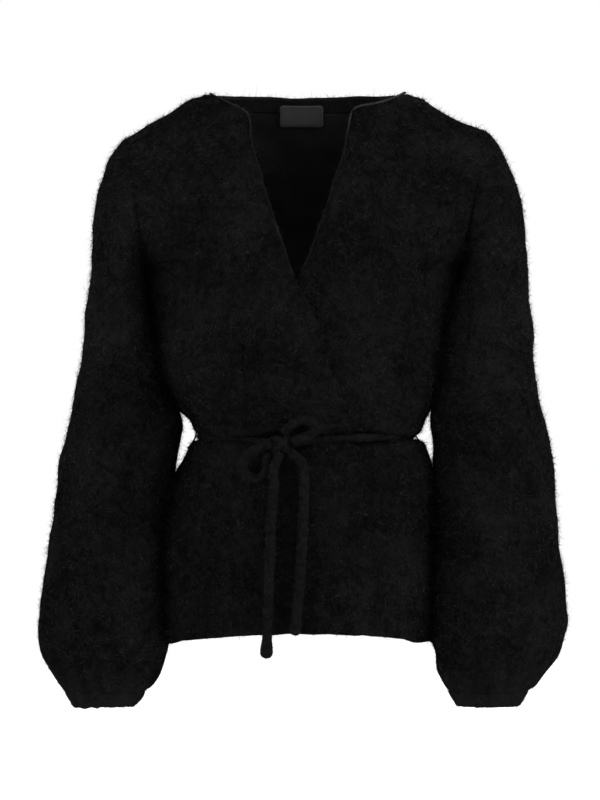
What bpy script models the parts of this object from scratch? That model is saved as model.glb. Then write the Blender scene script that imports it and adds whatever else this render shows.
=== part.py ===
"""A chunky wrap cardigan of fuzzy black knit, filled out as if worn, with a cord belt tied in a bow.

The model is in metres with +Z up. Its origin is the middle of the neck, level with the points where the
neckband meets the shoulders. The front faces -Y. Right and left are the wearer's, so right is at -X.
Sizes and tables here are in millimetres, and build_mesh and cord turn them to metres.
"""

import math

import bpy
import numpy as np

MM = 0.001

# Cloth: the knit with its dense pile, the gap at a seam, and the gap where the right front lies on the left.
WALL = 3.6
BAND_WALL = 4.4
SEAM = 0.36
ARMHOLE_SEAM = 0.75
LAP = WALL + 1.3
UNDERLAP = 2.2
EDGE_ROLL = 0.7

# Grid of the body panels: columns from a side seam to the front edge, and rows that each armhole has.
COLUMNS = 12
HALF_BACK = 13
SHOULDER_COLUMNS = 5
ARMHOLE_ROWS = 12
RING_POINTS = 2 * ARMHOLE_ROWS

# Landmarks in the front view: distance from the middle plane, and height.
NECK_POINT = (127.0, -6.0)
SHOULDER_TIP = {"right": (194.0, -46.0), "left": (192.0, -39.0)}
UNDERARM = {"right": (173.0, -181.0), "left": (166.5, -180.0)}
SHOULDER_SAG = {"right": 1.4, "left": 2.6}
ARMHOLE_DEPTH = 64.0
V_BOTTOM = (-12.8, -198.0)
V_TOP = {"right": (-64.0, -37.0), "left": (45.6, -37.0)}
BACK_NECK_HEIGHT = -13.0
HEM_HEIGHT = -585.0
HEM_WELT = 11.0
FRONT_HEM_LIFT = 15.0
BACK_HEM_LIFT = 5.0

# Belt: a round cord in a groove that it pulls into the cloth.
CORD = 10.0
BELT_HEIGHT = -366.0
BELT_DIP = 5.0
GROOVE_DEPTH = 10.0
GROOVE_HALF_WIDTH = 8.8
KNOT_PULL = 0.28
PULL_REACH = 80.0
CLEAR = 1.3
KNOT = (-27.5, -105.4, -374.5)
KNOT_RADII = (12.5, 10.0, 11.0)

SIGN = {"right": -1.0, "left": 1.0}


def table(columns, *rows):
    """A short table as a dictionary with one array for each named column."""
    values = np.array(rows, float)
    return {name: values[:, k] for k, name in enumerate(columns.split())}


# Width of the body below the underarm, on each side of the middle plane.
BODY = table(
    "height right left",
    (-590, 151, 134),
    (-540, 153.3, 134.3),
    (-500, 154, 134.3),
    (-468, 153.6, 134.2),
    (-446, 151.3, 134),
    (-424, 145.3, 133.7),
    (-403, 138.7, 132.6),
    (-390, 133.6, 130.6),
    (-378, 127.5, 127.8),
    (-366, 121, 118.5),
    (-352, 124.5, 125),
    (-345, 129, 128.3),
    (-338, 136, 130.6),
    (-320, 148.6, 136),
    (-290, 157.8, 140.8),
    (-250, 165.2, 147),
    (-215, 169.3, 154),
    (-198, 169.8, 158.4),
    (-187, 170.4, 162.5),
    (-181, 173, 166),
    (-180, 173, 166.5),
)

# Depth of the body at the middle plane, and the power of its round: 0.5 is a half ellipse, 1 a flatter bow.
DEPTH = table(
    "height front back power",
    (-590, 114, 99, 0.46),
    (-540, 117, 103, 0.46),
    (-500, 115, 104, 0.46),
    (-460, 112, 102, 0.46),
    (-435, 109, 99, 0.46),
    (-414, 105, 95, 0.46),
    (-392, 99, 89, 0.47),
    (-378, 94, 85, 0.48),
    (-366, 91, 81, 0.48),
    (-352, 94, 84, 0.48),
    (-338, 100, 89, 0.47),
    (-320, 106, 93, 0.46),
    (-290, 112, 97, 0.46),
    (-250, 115, 102, 0.46),
    (-215, 113, 105, 0.47),
    (-182, 109, 105, 0.5),
    (-168, 105, 104, 0.7),
    (-150, 101, 102, 0.85),
    (-115, 89, 95, 0.9),
    (-80, 77, 84, 0.75),
    (-46, 68, 72, 0.55),
    (-20, 60, 63, 0.5),
    (-5, 56, 58, 0.5),
)

# Front edges below the V: the right front's shows, the left front's lies under it.
FRONT_EDGE = {
    "right": table(
        "height x",
        (-575, 57),
        (-560, 63),
        (-537, 66),
        (-495, 61.7),
        (-448, 55.4),
        (-395, 50.2),
        (-359, 45.3),
        (-332, 39.7),
        (-301, 24),
        (-254, 10.3),
        (-198, -12.8),
    ),
    "left": table(
        "height x",
        (-575, -84),
        (-537, -86),
        (-495, -84),
        (-448, -78),
        (-395, -72),
        (-359, -66),
        (-332, -60),
        (-301, -47),
        (-254, -33),
        (-198, -12.8),
    ),
}

# Folds of the body, as soft troughs (depth above 0) and ridges (below 0) along a line in the front view.
FOLDS = table(
    "face x0 z0 x1 z1 width depth",
    (-1, -122, -60, -66, -140, 13, 3.6),
    (-1, -150, -105, -118, -175, 16, 2.6),
    (-1, -148, -235, -70, -262, 15, 2.4),
    (-1, -104, -342, -58, -352, 9, 3.2),
    (-1, -70, -330, -18, -339, 9, -2.6),
    (-1, 6, -346, 46, -351, 8, 2.6),
    (-1, 58, -334, 96, -342, 9, 3.0),
    (-1, 112, -95, 84, -165, 15, 2.8),
    (-1, 128, -205, 76, -236, 15, 2.2),
    (-1, -150, -450, -86, -478, 13, 3.4),
    (-1, -96, -392, -104, -560, 15, 2.6),
    (-1, -62, -400, -64, -575, 13, 2.4),
    (-1, -20, -392, -22, -580, 12, 3.0),
    (-1, 20, -392, 22, -470, 10, 2.2),
    (-1, 88, -390, 84, -560, 13, 2.4),
    (1, -120, -80, -62, -150, 15, 2.8),
    (1, 120, -78, 70, -150, 15, 2.8),
    (1, -60, -338, -6, -344, 9, 3.0),
    (1, 34, -336, 88, -343, 9, 3.0),
    (1, -96, -395, -112, -560, 15, 3.0),
    (1, -36, -392, -40, -575, 14, 2.6),
    (1, 28, -394, 30, -570, 14, 2.8),
    (1, 88, -396, 96, -560, 15, 2.8),
)

# Sleeves: each row is a ring through an outer and an inner point of the front view, deep in Y about its centre.
SLEEVE = {
    "right": table(
        "outer_x outer_z inner_x inner_z depth centre",
        (194, -46, 173, -181, 64, 0),
        (204, -55, 177, -184, 68, 0),
        (212.5, -69, 178.4, -192, 70, 0),
        (220, -91, 178, -204, 71, 0),
        (226, -122, 176.2, -217, 70, -1),
        (229, -162, 173, -240, 68, -2),
        (234, -208, 169, -267, 66, -3),
        (240, -258, 163.2, -297, 64, -4),
        (247, -303, 153.8, -325, 62, -5),
        (254, -340, 137, -345, 61, -6),
        (260, -370, 137, -368, 60, -7),
        (266, -407, 144.4, -403, 59, -8),
        (273, -450, 157.2, -444, 58, -10),
        (278, -495, 160.4, -490, 59, -13),
        (283, -543, 159.4, -538, 61, -16),
        (285, -572, 157.8, -567, 61, -18),
        (282.5, -592, 156.4, -590, 59, -19),
        (275, -610, 159.4, -608, 54, -20),
        (265, -626, 167, -626, 45, -21),
        (256.5, -639, 175.5, -639, 34, -22),
    ),
    "left": table(
        "outer_x outer_z inner_x inner_z depth centre",
        (192, -39, 166.5, -180, 64, 0),
        (203, -49, 170.3, -182, 68, 0),
        (212, -65, 169.6, -189, 70, 0),
        (221, -88, 166.6, -197, 71, 0),
        (228, -118, 161.8, -212, 70, -1),
        (233, -158, 156.2, -234, 68, -2),
        (237, -206, 151.4, -262, 66, -3),
        (242, -260, 146.4, -294, 64, -4),
        (247, -303, 141.6, -323, 63, -5),
        (254, -342, 135.4, -345, 63, -6),
        (259, -372, 136.8, -368, 63, -7),
        (265, -410, 139, -404, 63, -8),
        (270, -455, 139.8, -448, 64, -10),
        (273, -500, 140, -494, 66, -13),
        (276, -543, 140, -538, 67, -16),
        (275, -570, 139.4, -566, 66, -18),
        (268, -590, 138.6, -589, 62, -19),
        (258.5, -608, 140, -607, 56, -20),
        (247, -626, 146, -626, 46, -21),
        (236.5, -639, 152.5, -639, 35, -22),
    ),
}

# Cuffs, in the same columns.
CUFF = {
    "right": table(
        "outer_x outer_z inner_x inner_z depth centre",
        (256.5, -639, 175.5, -639, 34, -22),
        (255, -645, 177.5, -645, 32, -22),
        (252.5, -651, 180.5, -651, 30, -22),
        (249, -657, 185, -657, 28, -22),
    ),
    "left": table(
        "outer_x outer_z inner_x inner_z depth centre",
        (236.5, -639, 152.5, -639, 35, -22),
        (234, -645, 154.5, -645, 33, -22),
        (231.5, -651, 156.8, -651, 31, -22),
        (227, -657, 160.5, -657, 29, -22),
    ),
}

# Gathers above a cuff: how far every second point of a ring stands out or in, by height.
GATHER = table("height depth", (-580, 0), (-600, 1.4), (-615, 2.6), (-628, 2.4), (-639, 0))

# Creases across the sleeves, as a height at the outer side, an angle round the ring, and a depth.
SLEEVE_FOLDS = table(
    "height turn reach width depth",
    (-330, 0.9, 1.0, 14, 2.6),
    (-392, 1.9, 0.9, 15, 2.4),
    (-455, 0.5, 0.9, 16, 2.0),
    (-350, 4.4, 1.0, 15, 2.4),
    (-420, 5.1, 0.9, 16, 2.2),
)

# Routes of the bow, read as smooth curves: points from where each leaves the knot.
ROUTES = {
    "bow_loop_upper": (
        (-24.2, -107.6, -363.7),
        (-22.8, -108.4, -359.6),
        (-19.2, -109.8, -355.6),
        (-12.0, -111.0, -350.6),
        (-1.5, -112.2, -347.4),
        (7.4, -112.0, -351.6),
        (8.4, -110.8, -358.8),
        (1.0, -111.0, -364.6),
        (-7.0, -111.6, -367.6),
        (-12.4, -111.4, -369.6),
        (-16.2, -109.5, -371.1),
    ),
    "bow_loop_lower": (
        (-37.9, -111.5, -373.0),
        (-42.6, -113.0, -373.6),
        (-49.4, -111.2, -376.6),
        (-58.6, -108.6, -382.0),
        (-66.0, -108.2, -389.8),
        (-67.4, -109.2, -400.0),
        (-60.6, -111.2, -408.0),
        (-50.0, -112.4, -408.8),
        (-43.2, -112.0, -402.4),
        (-42.6, -109.8, -394.0),
        (-41.2, -107.4, -387.8),
        (-37.2, -106.4, -383.0),
    ),
    "belt_tail_long": (
        (-29.0, -112.3, -383.0),
        (-30.2, -116.0, -386.8),
        (-32.8, -119.8, -392.0),
        (-35.2, -122.8, -401.0),
        (-35.0, -123.8, -421.0),
        (-37.4, -126.0, -452.0),
        (-39.0, -128.6, -484.0),
        (-39.8, -130.2, -516.0),
        (-40.4, -130.8, -547.0),
        (-41.8, -130.4, -572.0),
        (-42.9, -130.0, -597.2),
    ),
    "belt_tail_short": (
        (-18.8, -110.7, -380.6),
        (-15.8, -113.4, -383.4),
        (-11.4, -115.4, -386.4),
        (-6.2, -117.4, -391.8),
        (-3.6, -119.0, -401.0),
        (-3.2, -123.0, -432.0),
        (-4.4, -126.4, -463.0),
        (-6.4, -129.2, -495.0),
        (-8.6, -130.8, -526.0),
        (-10.8, -131.0, -552.0),
        (-12.6, -130.8, -573.2),
    ),
}
STEPS_PER_ROUTE = {"bow_loop_upper": 26, "bow_loop_lower": 26, "belt_tail_long": 30, "belt_tail_short": 28}
END_KNOB = 1.36

# Neckband: how far it leans in and rises, at the front ends, the shoulders and the back.
BAND_LEAN = {"front": 4.0, "shoulder": 19.0, "back": 7.0}
BAND_RISE = {"front": 15.5, "shoulder": 9.5, "back": 16.0}
BAND_ROWS = 4

LABEL_X = (-28.4, 16.6)
LABEL_Z = (-27.0, -6.5)
LABEL_WALL = 1.0

THREAD = 2.0
THREAD_LOOP = table("height out", (-352, 1.9), (-356, 3.0), (-366, 3.2), (-376, 4.2), (-380, 3.2))

COLOURS = {
    "knit": ((0.0060, 0.0058, 0.0060), 0.96),
    "cord": ((0.0075, 0.0072, 0.0074), 0.92),
    "label": ((0.030, 0.030, 0.031), 0.85),
}


def smooth(at, known, values):
    """Reads a smooth curve through a table's points, with no overshoot, at the places asked."""
    at = np.clip(np.asarray(at, float), known[0], known[-1])
    step = np.diff(known)
    slope = np.diff(values) / step
    tangent = np.concatenate([slope[:1], np.zeros(len(slope) - 1), slope[-1:]])
    before, after = slope[:-1], slope[1:]
    same = before * after > 0
    tangent[1:-1][same] = 2 * before[same] * after[same] / (before + after)[same]
    k = np.clip(np.searchsorted(known, at) - 1, 0, len(step) - 1)
    t = (at - known[k]) / step[k]
    return (
        values[k] * (1 + 2 * t) * (1 - t) ** 2
        + values[k + 1] * t**2 * (3 - 2 * t)
        + tangent[k] * step[k] * t * (1 - t) ** 2
        - tangent[k + 1] * step[k] * t**2 * (1 - t)
    )


def ease(t):
    """0 below 0, 1 above 1, and a smooth step between."""
    t = np.clip(t, 0, 1)
    return t * t * (3 - 2 * t)


def unit(vectors):
    return vectors / np.linalg.norm(vectors, axis=-1, keepdims=True)


def reach(side, height):
    """Distance from the middle plane to the side seam, the armhole or the shoulder seam at a height."""
    tip, under = SHOULDER_TIP[side], UNDERARM[side]
    low = smooth(height, BODY["height"], BODY[side])
    hole = np.interp(height, (under[1], tip[1]), (under[0], tip[0]))
    shoulder = np.interp(height, (tip[1], NECK_POINT[1]), (tip[0], NECK_POINT[0]))
    return np.where(height <= under[1], low, np.where(height <= tip[1], hole, shoulder))


def armhole_depth(side, height):
    """Half the armhole's depth at a height: it is an ellipse between the underarm and the shoulder tip."""
    top, low = SHOULDER_TIP[side][1], UNDERARM[side][1]
    t = (height - (top + low) / 2) / ((top - low) / 2)
    return ARMHOLE_DEPTH * np.sqrt(np.clip(1 - t**2, 0, 1))


def shoulder_sag(x, amount):
    """How far the shoulder dips between the neckband and its tip. The amount goes from 0 at the underarm to 1."""
    tip = np.where(x < 0, SHOULDER_TIP["right"][0], SHOULDER_TIP["left"][0])
    sag = np.where(x < 0, SHOULDER_SAG["right"], SHOULDER_SAG["left"])
    along = np.clip((np.abs(x) - NECK_POINT[0]) / (tip - NECK_POINT[0]), 0, 1)
    return amount * sag * np.sin(math.pi * along)


def by_side(x, height, read):
    """The value of a function of side and height, with each point's own side."""
    return np.where(x < 0, read("right", height), read("left", height))


def body_depth(x, height, face):
    """Distance of the front or back of the body from the plane Y = 0, with no folds."""
    across = np.clip(np.abs(x) / by_side(x, height, reach), 0, 1)
    seam = by_side(x, height, armhole_depth)
    middle = smooth(height, DEPTH["height"], DEPTH[face])
    power = smooth(height, DEPTH["height"], DEPTH["power"])
    return seam + (middle - seam) * (1 - across**2) ** power


def belt_height(x, y):
    """Height of the belt's middle line: level, and a little lower in front where the knot pulls it down."""
    return BELT_HEIGHT - BELT_DIP * np.exp(-(((x - KNOT[0]) / 60) ** 2)) * (y < 0)


def groove_depth(x, y, z):
    """How far the belt pulls the cloth in. The groove is wider near the knot."""
    near_knot = np.exp(-(((x - KNOT[0]) / PULL_REACH) ** 2)) * (y < 0)
    half_width = GROOVE_HALF_WIDTH * (1 + KNOT_PULL * near_knot)
    return GROOVE_DEPTH * np.exp(-(np.abs((z - belt_height(x, y)) / half_width) ** 4))


def fold_depth(points):
    """How far the folds and the belt's groove move each point of the body inwards."""
    x, y, z = points[..., 0], points[..., 1], points[..., 2]
    inward = groove_depth(x, y, z)
    for face, x0, z0, x1, z1, width, depth in zip(*FOLDS.values()):
        run = np.array((x1 - x0, z1 - z0))
        along = ((x - x0) * run[0] + (z - z0) * run[1]) / (run @ run)
        near = np.clip(along, 0, 1)
        away = np.hypot(x - x0 - near * run[0], z - z0 - near * run[1])
        on_face = ease(y * face / 20)
        inward = inward + depth * np.exp(-((away / width) ** 2)) * on_face
    return inward


def normals_of(grid, closed=False):
    """Unit normals of a grid of points, by differences along its rows and columns."""
    down = np.gradient(grid, axis=0, edge_order=2)
    if closed:
        across = (np.roll(grid, -1, axis=1) - np.roll(grid, 1, axis=1)) / 2
    else:
        across = np.gradient(grid, axis=1, edge_order=2)
    return unit(np.cross(down, across))


def facing(normals, outward):
    """The same normals, turned as one so that they point outwards."""
    return normals * np.sign((normals * outward).sum())


def panel_heights():
    """Heights of the rows at the side seam, from the hem to the underarm, closer together at the belt."""
    hem = (HEM_HEIGHT, HEM_HEIGHT + HEM_WELT, HEM_HEIGHT + HEM_WELT + 8)
    skirt = np.linspace(hem[-1], -389, 8)[1:]
    groove = np.linspace(-389, -343, 10)[1:]
    return hem, skirt, groove


def side_heights(side):
    """Row heights at one side: the side seam up to the underarm, then the armhole up to its tip."""
    hem, skirt, groove = panel_heights()
    top, low = SHOULDER_TIP[side][1], UNDERARM[side][1]
    bodice = np.linspace(groove[-1], low, 8)[1:]
    turn = np.linspace(0, math.pi, ARMHOLE_ROWS + 1)[1:]
    armhole = (top + low) / 2 - (top - low) / 2 * np.cos(turn)
    return np.concatenate([hem, skirt, groove, bodice, armhole])


def underarm_row(side):
    return len(side_heights(side)) - 1 - ARMHOLE_ROWS


def front_edge(side, heights):
    """The front edge, V edge and front neckline, one point for each row."""
    edge = FRONT_EDGE[side]
    start = underarm_row(side)
    seam = heights[: start + 1]
    waist = panel_heights()[2][-1]
    z = np.where(seam <= waist, seam, np.interp(seam, (waist, seam[-1]), (waist, V_BOTTOM[1])))
    x = smooth(z, edge["height"], edge["x"])
    v_rows = 2 * ARMHOLE_ROWS // 3
    rise = np.linspace(0, 1, v_rows + 1)[1:]
    top = V_TOP[side]
    bow = 2.5 * np.sin(math.pi * rise) * SIGN[side]
    v_x = V_BOTTOM[0] + (top[0] - V_BOTTOM[0]) * rise - bow
    v_z = V_BOTTOM[1] + (top[1] - V_BOTTOM[1]) * rise
    open_angle = math.radians(69)
    turn = np.linspace(open_angle, 0, ARMHOLE_ROWS - v_rows + 1)[1:]
    share = (1 - np.cos(turn)) / (1 - math.cos(open_angle))
    neck = np.array((NECK_POINT[0] * SIGN[side], NECK_POINT[1]))
    n_x = neck[0] + (top[0] - neck[0]) * share
    n_z = neck[1] + (top[1] - neck[1]) * share
    return np.concatenate([x, v_x, n_x]), np.concatenate([z, v_z, n_z])


def hem_lift(x, z, lift):
    """The hem hangs higher at the middle of the front and back than at the sides."""
    across = np.clip(np.abs(x) / by_side(x, z, reach), 0, 1)
    fade = ease((-389 - z) / 190)
    return lift * fade * (1 - across**2)


def lap_out(points):
    """How far the right front stands out to lie on the left front."""
    x, z = points[..., 0], points[..., 2]
    under = FRONT_EDGE["left"]
    full = smooth(z, under["height"], under["x"]) - 13
    start = -0.97 * by_side(x, z, reach)
    ramp = ease((x - start) / (full - start))
    return LAP * ramp * ease((-88 - z) / 95)


def lap_in(points):
    """How far the hidden part of the left front is pressed in under the right one."""
    x, z = points[..., 0], points[..., 2]
    over = FRONT_EDGE["right"]
    edge = smooth(z, over["height"], over["x"])
    return UNDERLAP * ease((edge + 20 - x) / 22) * ease((-175 - z) / 40)


def front_panel(side):
    """Middle surface of one front, rows from the hem up and columns from the side seam to the front edge."""
    heights = side_heights(side)
    outer_x = SIGN[side] * reach(side, heights)
    inner_x, inner_z = front_edge(side, heights)
    inner_reach = by_side(inner_x, inner_z, reach)
    turn_end = np.arccos(np.clip(SIGN[side] * inner_x / inner_reach, -1, 1))
    turn_end = np.maximum(turn_end, 0.05)[:, None]
    step = np.linspace(0, 1, COLUMNS + 1)[None, :]
    round_share = (1 - np.cos(turn_end * step)) / (1 - np.cos(turn_end))
    armhole_row = np.arange(len(heights)) - underarm_row(side)
    even = ease(armhole_row / ARMHOLE_ROWS)[:, None]
    share = (1 - even) * round_share + even * step
    x = outer_x[:, None] + (inner_x - outer_x)[:, None] * share
    z = heights[:, None] + (inner_z - heights)[:, None] * share
    z = z + hem_lift(x, z, FRONT_HEM_LIFT)
    grid = np.stack([x, -body_depth(x, z, "front"), z - shoulder_sag(x, even)], axis=-1)
    outward = facing(normals_of(grid), grid * (1, 1, 0))
    lap = lap_out(grid) if side == "right" else -lap_in(grid)
    move = lap - fold_depth(grid)
    seam_fade = np.ones_like(x)
    seam_fade[underarm_row(side) :, 0] = 0
    seam_fade[-1, :] = 0
    grid = grid + outward * (move * seam_fade)[..., None]
    grid[: underarm_row(side) + 1, 0, 1] = 0
    piece = Piece(f"front_{side}", grid, grid * (1, 1, 0.2))
    piece.proud[:2] = EDGE_ROLL
    piece.proud[:-4, -1] = EDGE_ROLL
    return piece


def back_neckline(x):
    """Height of the back neckline's seam."""
    return BACK_NECK_HEIGHT + (NECK_POINT[1] - BACK_NECK_HEIGHT) * np.abs(x / NECK_POINT[0]) ** 2.4


def back_panel():
    """Middle surface of the back, rows from the hem up and columns from the right side seam to the left."""
    heights = {side: side_heights(side) for side in SIGN}
    turn = np.linspace(0, math.pi, 2 * HALF_BACK + 1)
    neck_turn = np.linspace(0, math.pi, 2 * (HALF_BACK - SHOULDER_COLUMNS) + 1)
    neck_x = -NECK_POINT[0] * np.cos(neck_turn)
    shoulder = {s: np.linspace(SHOULDER_TIP[s][0], NECK_POINT[0], SHOULDER_COLUMNS + 1)[:-1] for s in SIGN}
    top_x = np.concatenate([-shoulder["right"], neck_x, shoulder["left"][::-1]])
    tips = [SHOULDER_TIP[s] for s in ("right", "left")]
    top_z = np.interp(
        top_x,
        (-tips[0][0], -NECK_POINT[0], NECK_POINT[0], tips[1][0]),
        (tips[0][1], NECK_POINT[1], NECK_POINT[1], tips[1][1]),
    )
    top_z[SHOULDER_COLUMNS:-SHOULDER_COLUMNS] = back_neckline(neck_x)
    rows = len(heights["right"])
    start = underarm_row("right")
    below = (heights["right"] + heights["left"])[: start + 1] / 2
    above = np.linspace(below[-1], BACK_NECK_HEIGHT, ARMHOLE_ROWS + 1)[1:]
    middle = np.concatenate([below, above])
    on_right = turn < math.pi / 2
    towards_side = 1 - np.sin(turn)
    low_top_z = middle[-1] + (np.where(on_right, tips[0][1], tips[1][1]) - middle[-1]) * towards_side
    blend = ease((np.arange(rows) - start) / (rows - 1 - start))[:, None]
    ends = np.where(on_right, heights["right"][:, None], heights["left"][:, None])
    width = np.where(on_right, reach("right", heights["right"])[:, None], reach("left", heights["left"])[:, None])
    flat_x = top_x * width / np.where(on_right, tips[0][0], tips[1][0])
    x = -(1 - blend) * width * np.cos(turn) + blend * flat_x
    z = middle[:, None] + (ends - middle[:, None]) * towards_side + blend * (top_z - low_top_z)
    z = z + hem_lift(x, z, BACK_HEM_LIFT)
    grid = np.stack([x, body_depth(x, z, "back"), z - shoulder_sag(x, blend)], axis=-1)
    outward = facing(normals_of(grid), grid * (1, 1, 0))
    fade = np.ones_like(x)
    fade[start:, 0] = 0
    fade[start:, -1] = 0
    fade[-1, :] = 0
    grid = grid - outward * (fold_depth(grid) * fade)[..., None]
    grid[: start + 1, (0, -1), 1] = 0
    piece = Piece("back", grid, grid * (1, 1, 0.2))
    piece.proud[:2] = EDGE_ROLL
    return piece


def rings(side, rows):
    """Rings of a sleeve or cuff: point 0 is the outer one, and the next points go round by the front."""
    turn = np.arange(RING_POINTS) * 2 * math.pi / RING_POINTS
    sign = SIGN[side]
    outer = np.stack([sign * rows["outer_x"], rows["centre"], rows["outer_z"]], axis=-1)[:, None]
    inner = np.stack([sign * rows["inner_x"], rows["centre"], rows["inner_z"]], axis=-1)[:, None]
    middle, half = (outer + inner) / 2, (outer - inner) / 2
    deep = rows["depth"][:, None, None] * np.array((0, -1, 0))
    return middle + half * np.cos(turn)[None, :, None] + deep * np.sin(turn)[None, :, None], middle


def sleeve(side):
    """Middle surface of one sleeve, rings from the armhole to the cuff."""
    grid, middle = rings(side, SLEEVE[side])
    smooth_grid = Piece(f"sleeve_{side}", grid, grid - middle, closed=True)
    turn = np.arange(RING_POINTS) * 2 * math.pi / RING_POINTS
    move = np.zeros(grid.shape[:2])
    for height, at, span, width, depth in zip(*SLEEVE_FOLDS.values()):
        round_gap = np.abs((turn - at + math.pi) % (2 * math.pi) - math.pi)
        up = grid[..., 2] - height - 18 * (round_gap / span)[None, :]
        move -= depth * np.exp(-((up / width) ** 2)) * np.exp(-((round_gap / span) ** 2))[None, :]
    zigzag = np.where(np.arange(RING_POINTS) % 2 == 0, 1.0, -1.0) * (1 + 0.3 * np.sin(3 * turn + 1))
    order = np.argsort(GATHER["height"])
    amount = smooth(grid[..., 2], GATHER["height"][order], GATHER["depth"][order])
    move += zigzag[None, :] * amount
    move[0] = move[-1] = 0
    grid = grid + smooth_grid.normals * move[..., None]
    return Piece(f"sleeve_{side}", grid, grid - middle, closed=True)


class Piece:
    """One piece of cloth: a grid of middle points, and how its wall stands at each of them."""

    def __init__(self, name, grid, outward, closed=False, thickness=WALL):
        self.name = name
        self.grid = grid
        self.normals = facing(normals_of(grid, closed), outward)
        self.closed = closed
        self.thickness = thickness
        self.proud = np.zeros(grid.shape[:2])


def sew(points, towards, gap, closed, *sides):
    """Mitres and parts the two sides of a seam. A side is a list of (piece, where in its grid, which points)."""
    facings = [np.zeros_like(points) for _ in sides]
    for total, side in zip(facings, sides):
        for piece, where, places in side:
            total[places] += piece.normals[where]
    facings = [unit(total) for total in facings]
    shared = unit(facings[0] + facings[1])
    lean = np.clip((shared * facings[0]).sum(-1, keepdims=True), 0.5, 1)
    if closed:
        along = np.roll(points, -1, axis=0) - np.roll(points, 1, axis=0)
    else:
        along = np.gradient(points, axis=0, edge_order=2)
    across = unit(np.cross(along, shared))
    across = across * np.sign((across * towards).sum())
    for way, side in zip((-1, 1), sides):
        for piece, where, places in side:
            piece.grid[where] = (points + way * across * gap / 2)[places]
            piece.normals[where] = (shared / lean)[places]


def make_material(name):
    colour, roughness = COLOURS[name]
    material = bpy.data.materials.new(name)
    material.use_nodes = True
    shader = material.node_tree.nodes["Principled BSDF"]
    shader.inputs["Base Color"].default_value = (*colour, 1)
    shader.inputs["Roughness"].default_value = roughness
    shader.inputs["Metallic"].default_value = 0
    material.diffuse_color = (*colour, 1)
    return material


def build_mesh(name, points, faces, material):
    """A smooth-shaded mesh object from points in millimetres."""
    mesh = bpy.data.meshes.new(name)
    mesh.from_pydata([tuple(p) for p in points * MM], [], faces)
    mesh.materials.append(material)
    mesh.shade_smooth()
    mesh.validate()
    obj = bpy.data.objects.new(name, mesh)
    bpy.context.scene.collection.objects.link(obj)
    return obj


def wall(piece, material):
    """A closed wall of cloth about a piece's middle points: two skins, joined at every open edge."""
    grid, normals, closed = piece.grid, piece.normals, piece.closed
    rows, columns = grid.shape[:2]
    half = normals * piece.thickness / 2
    raised = half + normals * piece.proud[..., None]
    points = np.concatenate([(grid + raised).reshape(-1, 3), (grid - half).reshape(-1, 3)])
    inner = rows * columns
    span = columns if closed else columns - 1
    faces = []
    for i in range(rows - 1):
        for j in range(span):
            k = (j + 1) % columns
            quad = (i * columns + j, i * columns + k, (i + 1) * columns + k, (i + 1) * columns + j)
            faces += [quad, tuple(inner + p for p in reversed(quad))]
    for row, turn in ((0, 1), (rows - 1, -1)):
        for j in range(span):
            a, b = row * columns + j, row * columns + (j + 1) % columns
            faces.append((b, a, inner + a, inner + b)[::turn])
    if not closed:
        for column, turn in ((0, -1), (columns - 1, 1)):
            for i in range(rows - 1):
                a, b = i * columns + column, (i + 1) * columns + column
                faces.append((b, a, inner + a, inner + b)[::turn])
    p0, p1, p3 = (points[list(faces[0])][k] for k in (0, 1, 3))
    if np.dot(np.cross(p1 - p0, p3 - p0), normals[0, 0]) < 0:
        faces = [face[::-1] for face in faces]
    return build_mesh(piece.name, points, faces, material)


def smooth_route(points, count):
    """Evenly spaced points on a smooth curve through a route's own points."""
    points = np.array(points, float)
    ends = np.concatenate([[2 * points[0] - points[1]], points, [2 * points[-1] - points[-2]]])
    fine = []
    for p0, p1, p2, p3 in zip(ends, ends[1:], ends[2:], ends[3:]):
        for t in np.linspace(0, 1, 12, endpoint=False):
            square = 2 * p0 - 5 * p1 + 4 * p2 - p3
            cube = 3 * p1 - p0 - 3 * p2 + p3
            fine.append((2 * p1 + (p2 - p0) * t + square * t**2 + cube * t**3) / 2)
    fine = np.array(fine + [points[-1]])
    length = np.concatenate([[0], np.cumsum(np.linalg.norm(np.diff(fine, axis=0), axis=1))])
    at = np.linspace(0, length[-1], count)
    return np.stack([np.interp(at, length, fine[:, k]) for k in range(3)], axis=-1)


def cord(name, points, diameter, material, radii=None, resolution=2):
    """A round cord: a poly curve with a bevel and filled caps."""
    curve = bpy.data.curves.new(name, "CURVE")
    curve.dimensions = "3D"
    curve.bevel_depth = diameter / 2 * MM
    curve.bevel_resolution = resolution
    curve.use_fill_caps = True
    spline = curve.splines.new("POLY")
    spline.points.add(len(points) - 1)
    for k, (point, p) in enumerate(zip(spline.points, points)):
        point.co = (*(p * MM), 1)
        point.radius = 1 if radii is None else radii[k]
    curve.materials.append(material)
    obj = bpy.data.objects.new(name, curve)
    bpy.context.scene.collection.objects.link(obj)
    return obj


def neckline(fronts, back):
    """Seam points of the neckband, from the right front's V to the left one's, and where each panel has them."""
    first = underarm_row("right") + 2 * ARMHOLE_ROWS // 3
    ends = SHOULDER_COLUMNS
    count, middle = ARMHOLE_ROWS // 3 + 1, 2 * (HALF_BACK - ends) + 1
    places = np.arange(2 * (count - 1) + middle)
    sides = [
        (fronts["right"], (slice(first, None), -1), places[:count]),
        (back, (-1, slice(ends, back.grid.shape[1] - ends)), places[count - 1 : count - 1 + middle]),
        (fronts["left"], (slice(first, None), -1), places[::-1][:count]),
    ]
    points = np.zeros((len(places), 3))
    for piece, where, at in sides:
        points[at] = piece.grid[where]
    return points, sides, places


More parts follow.
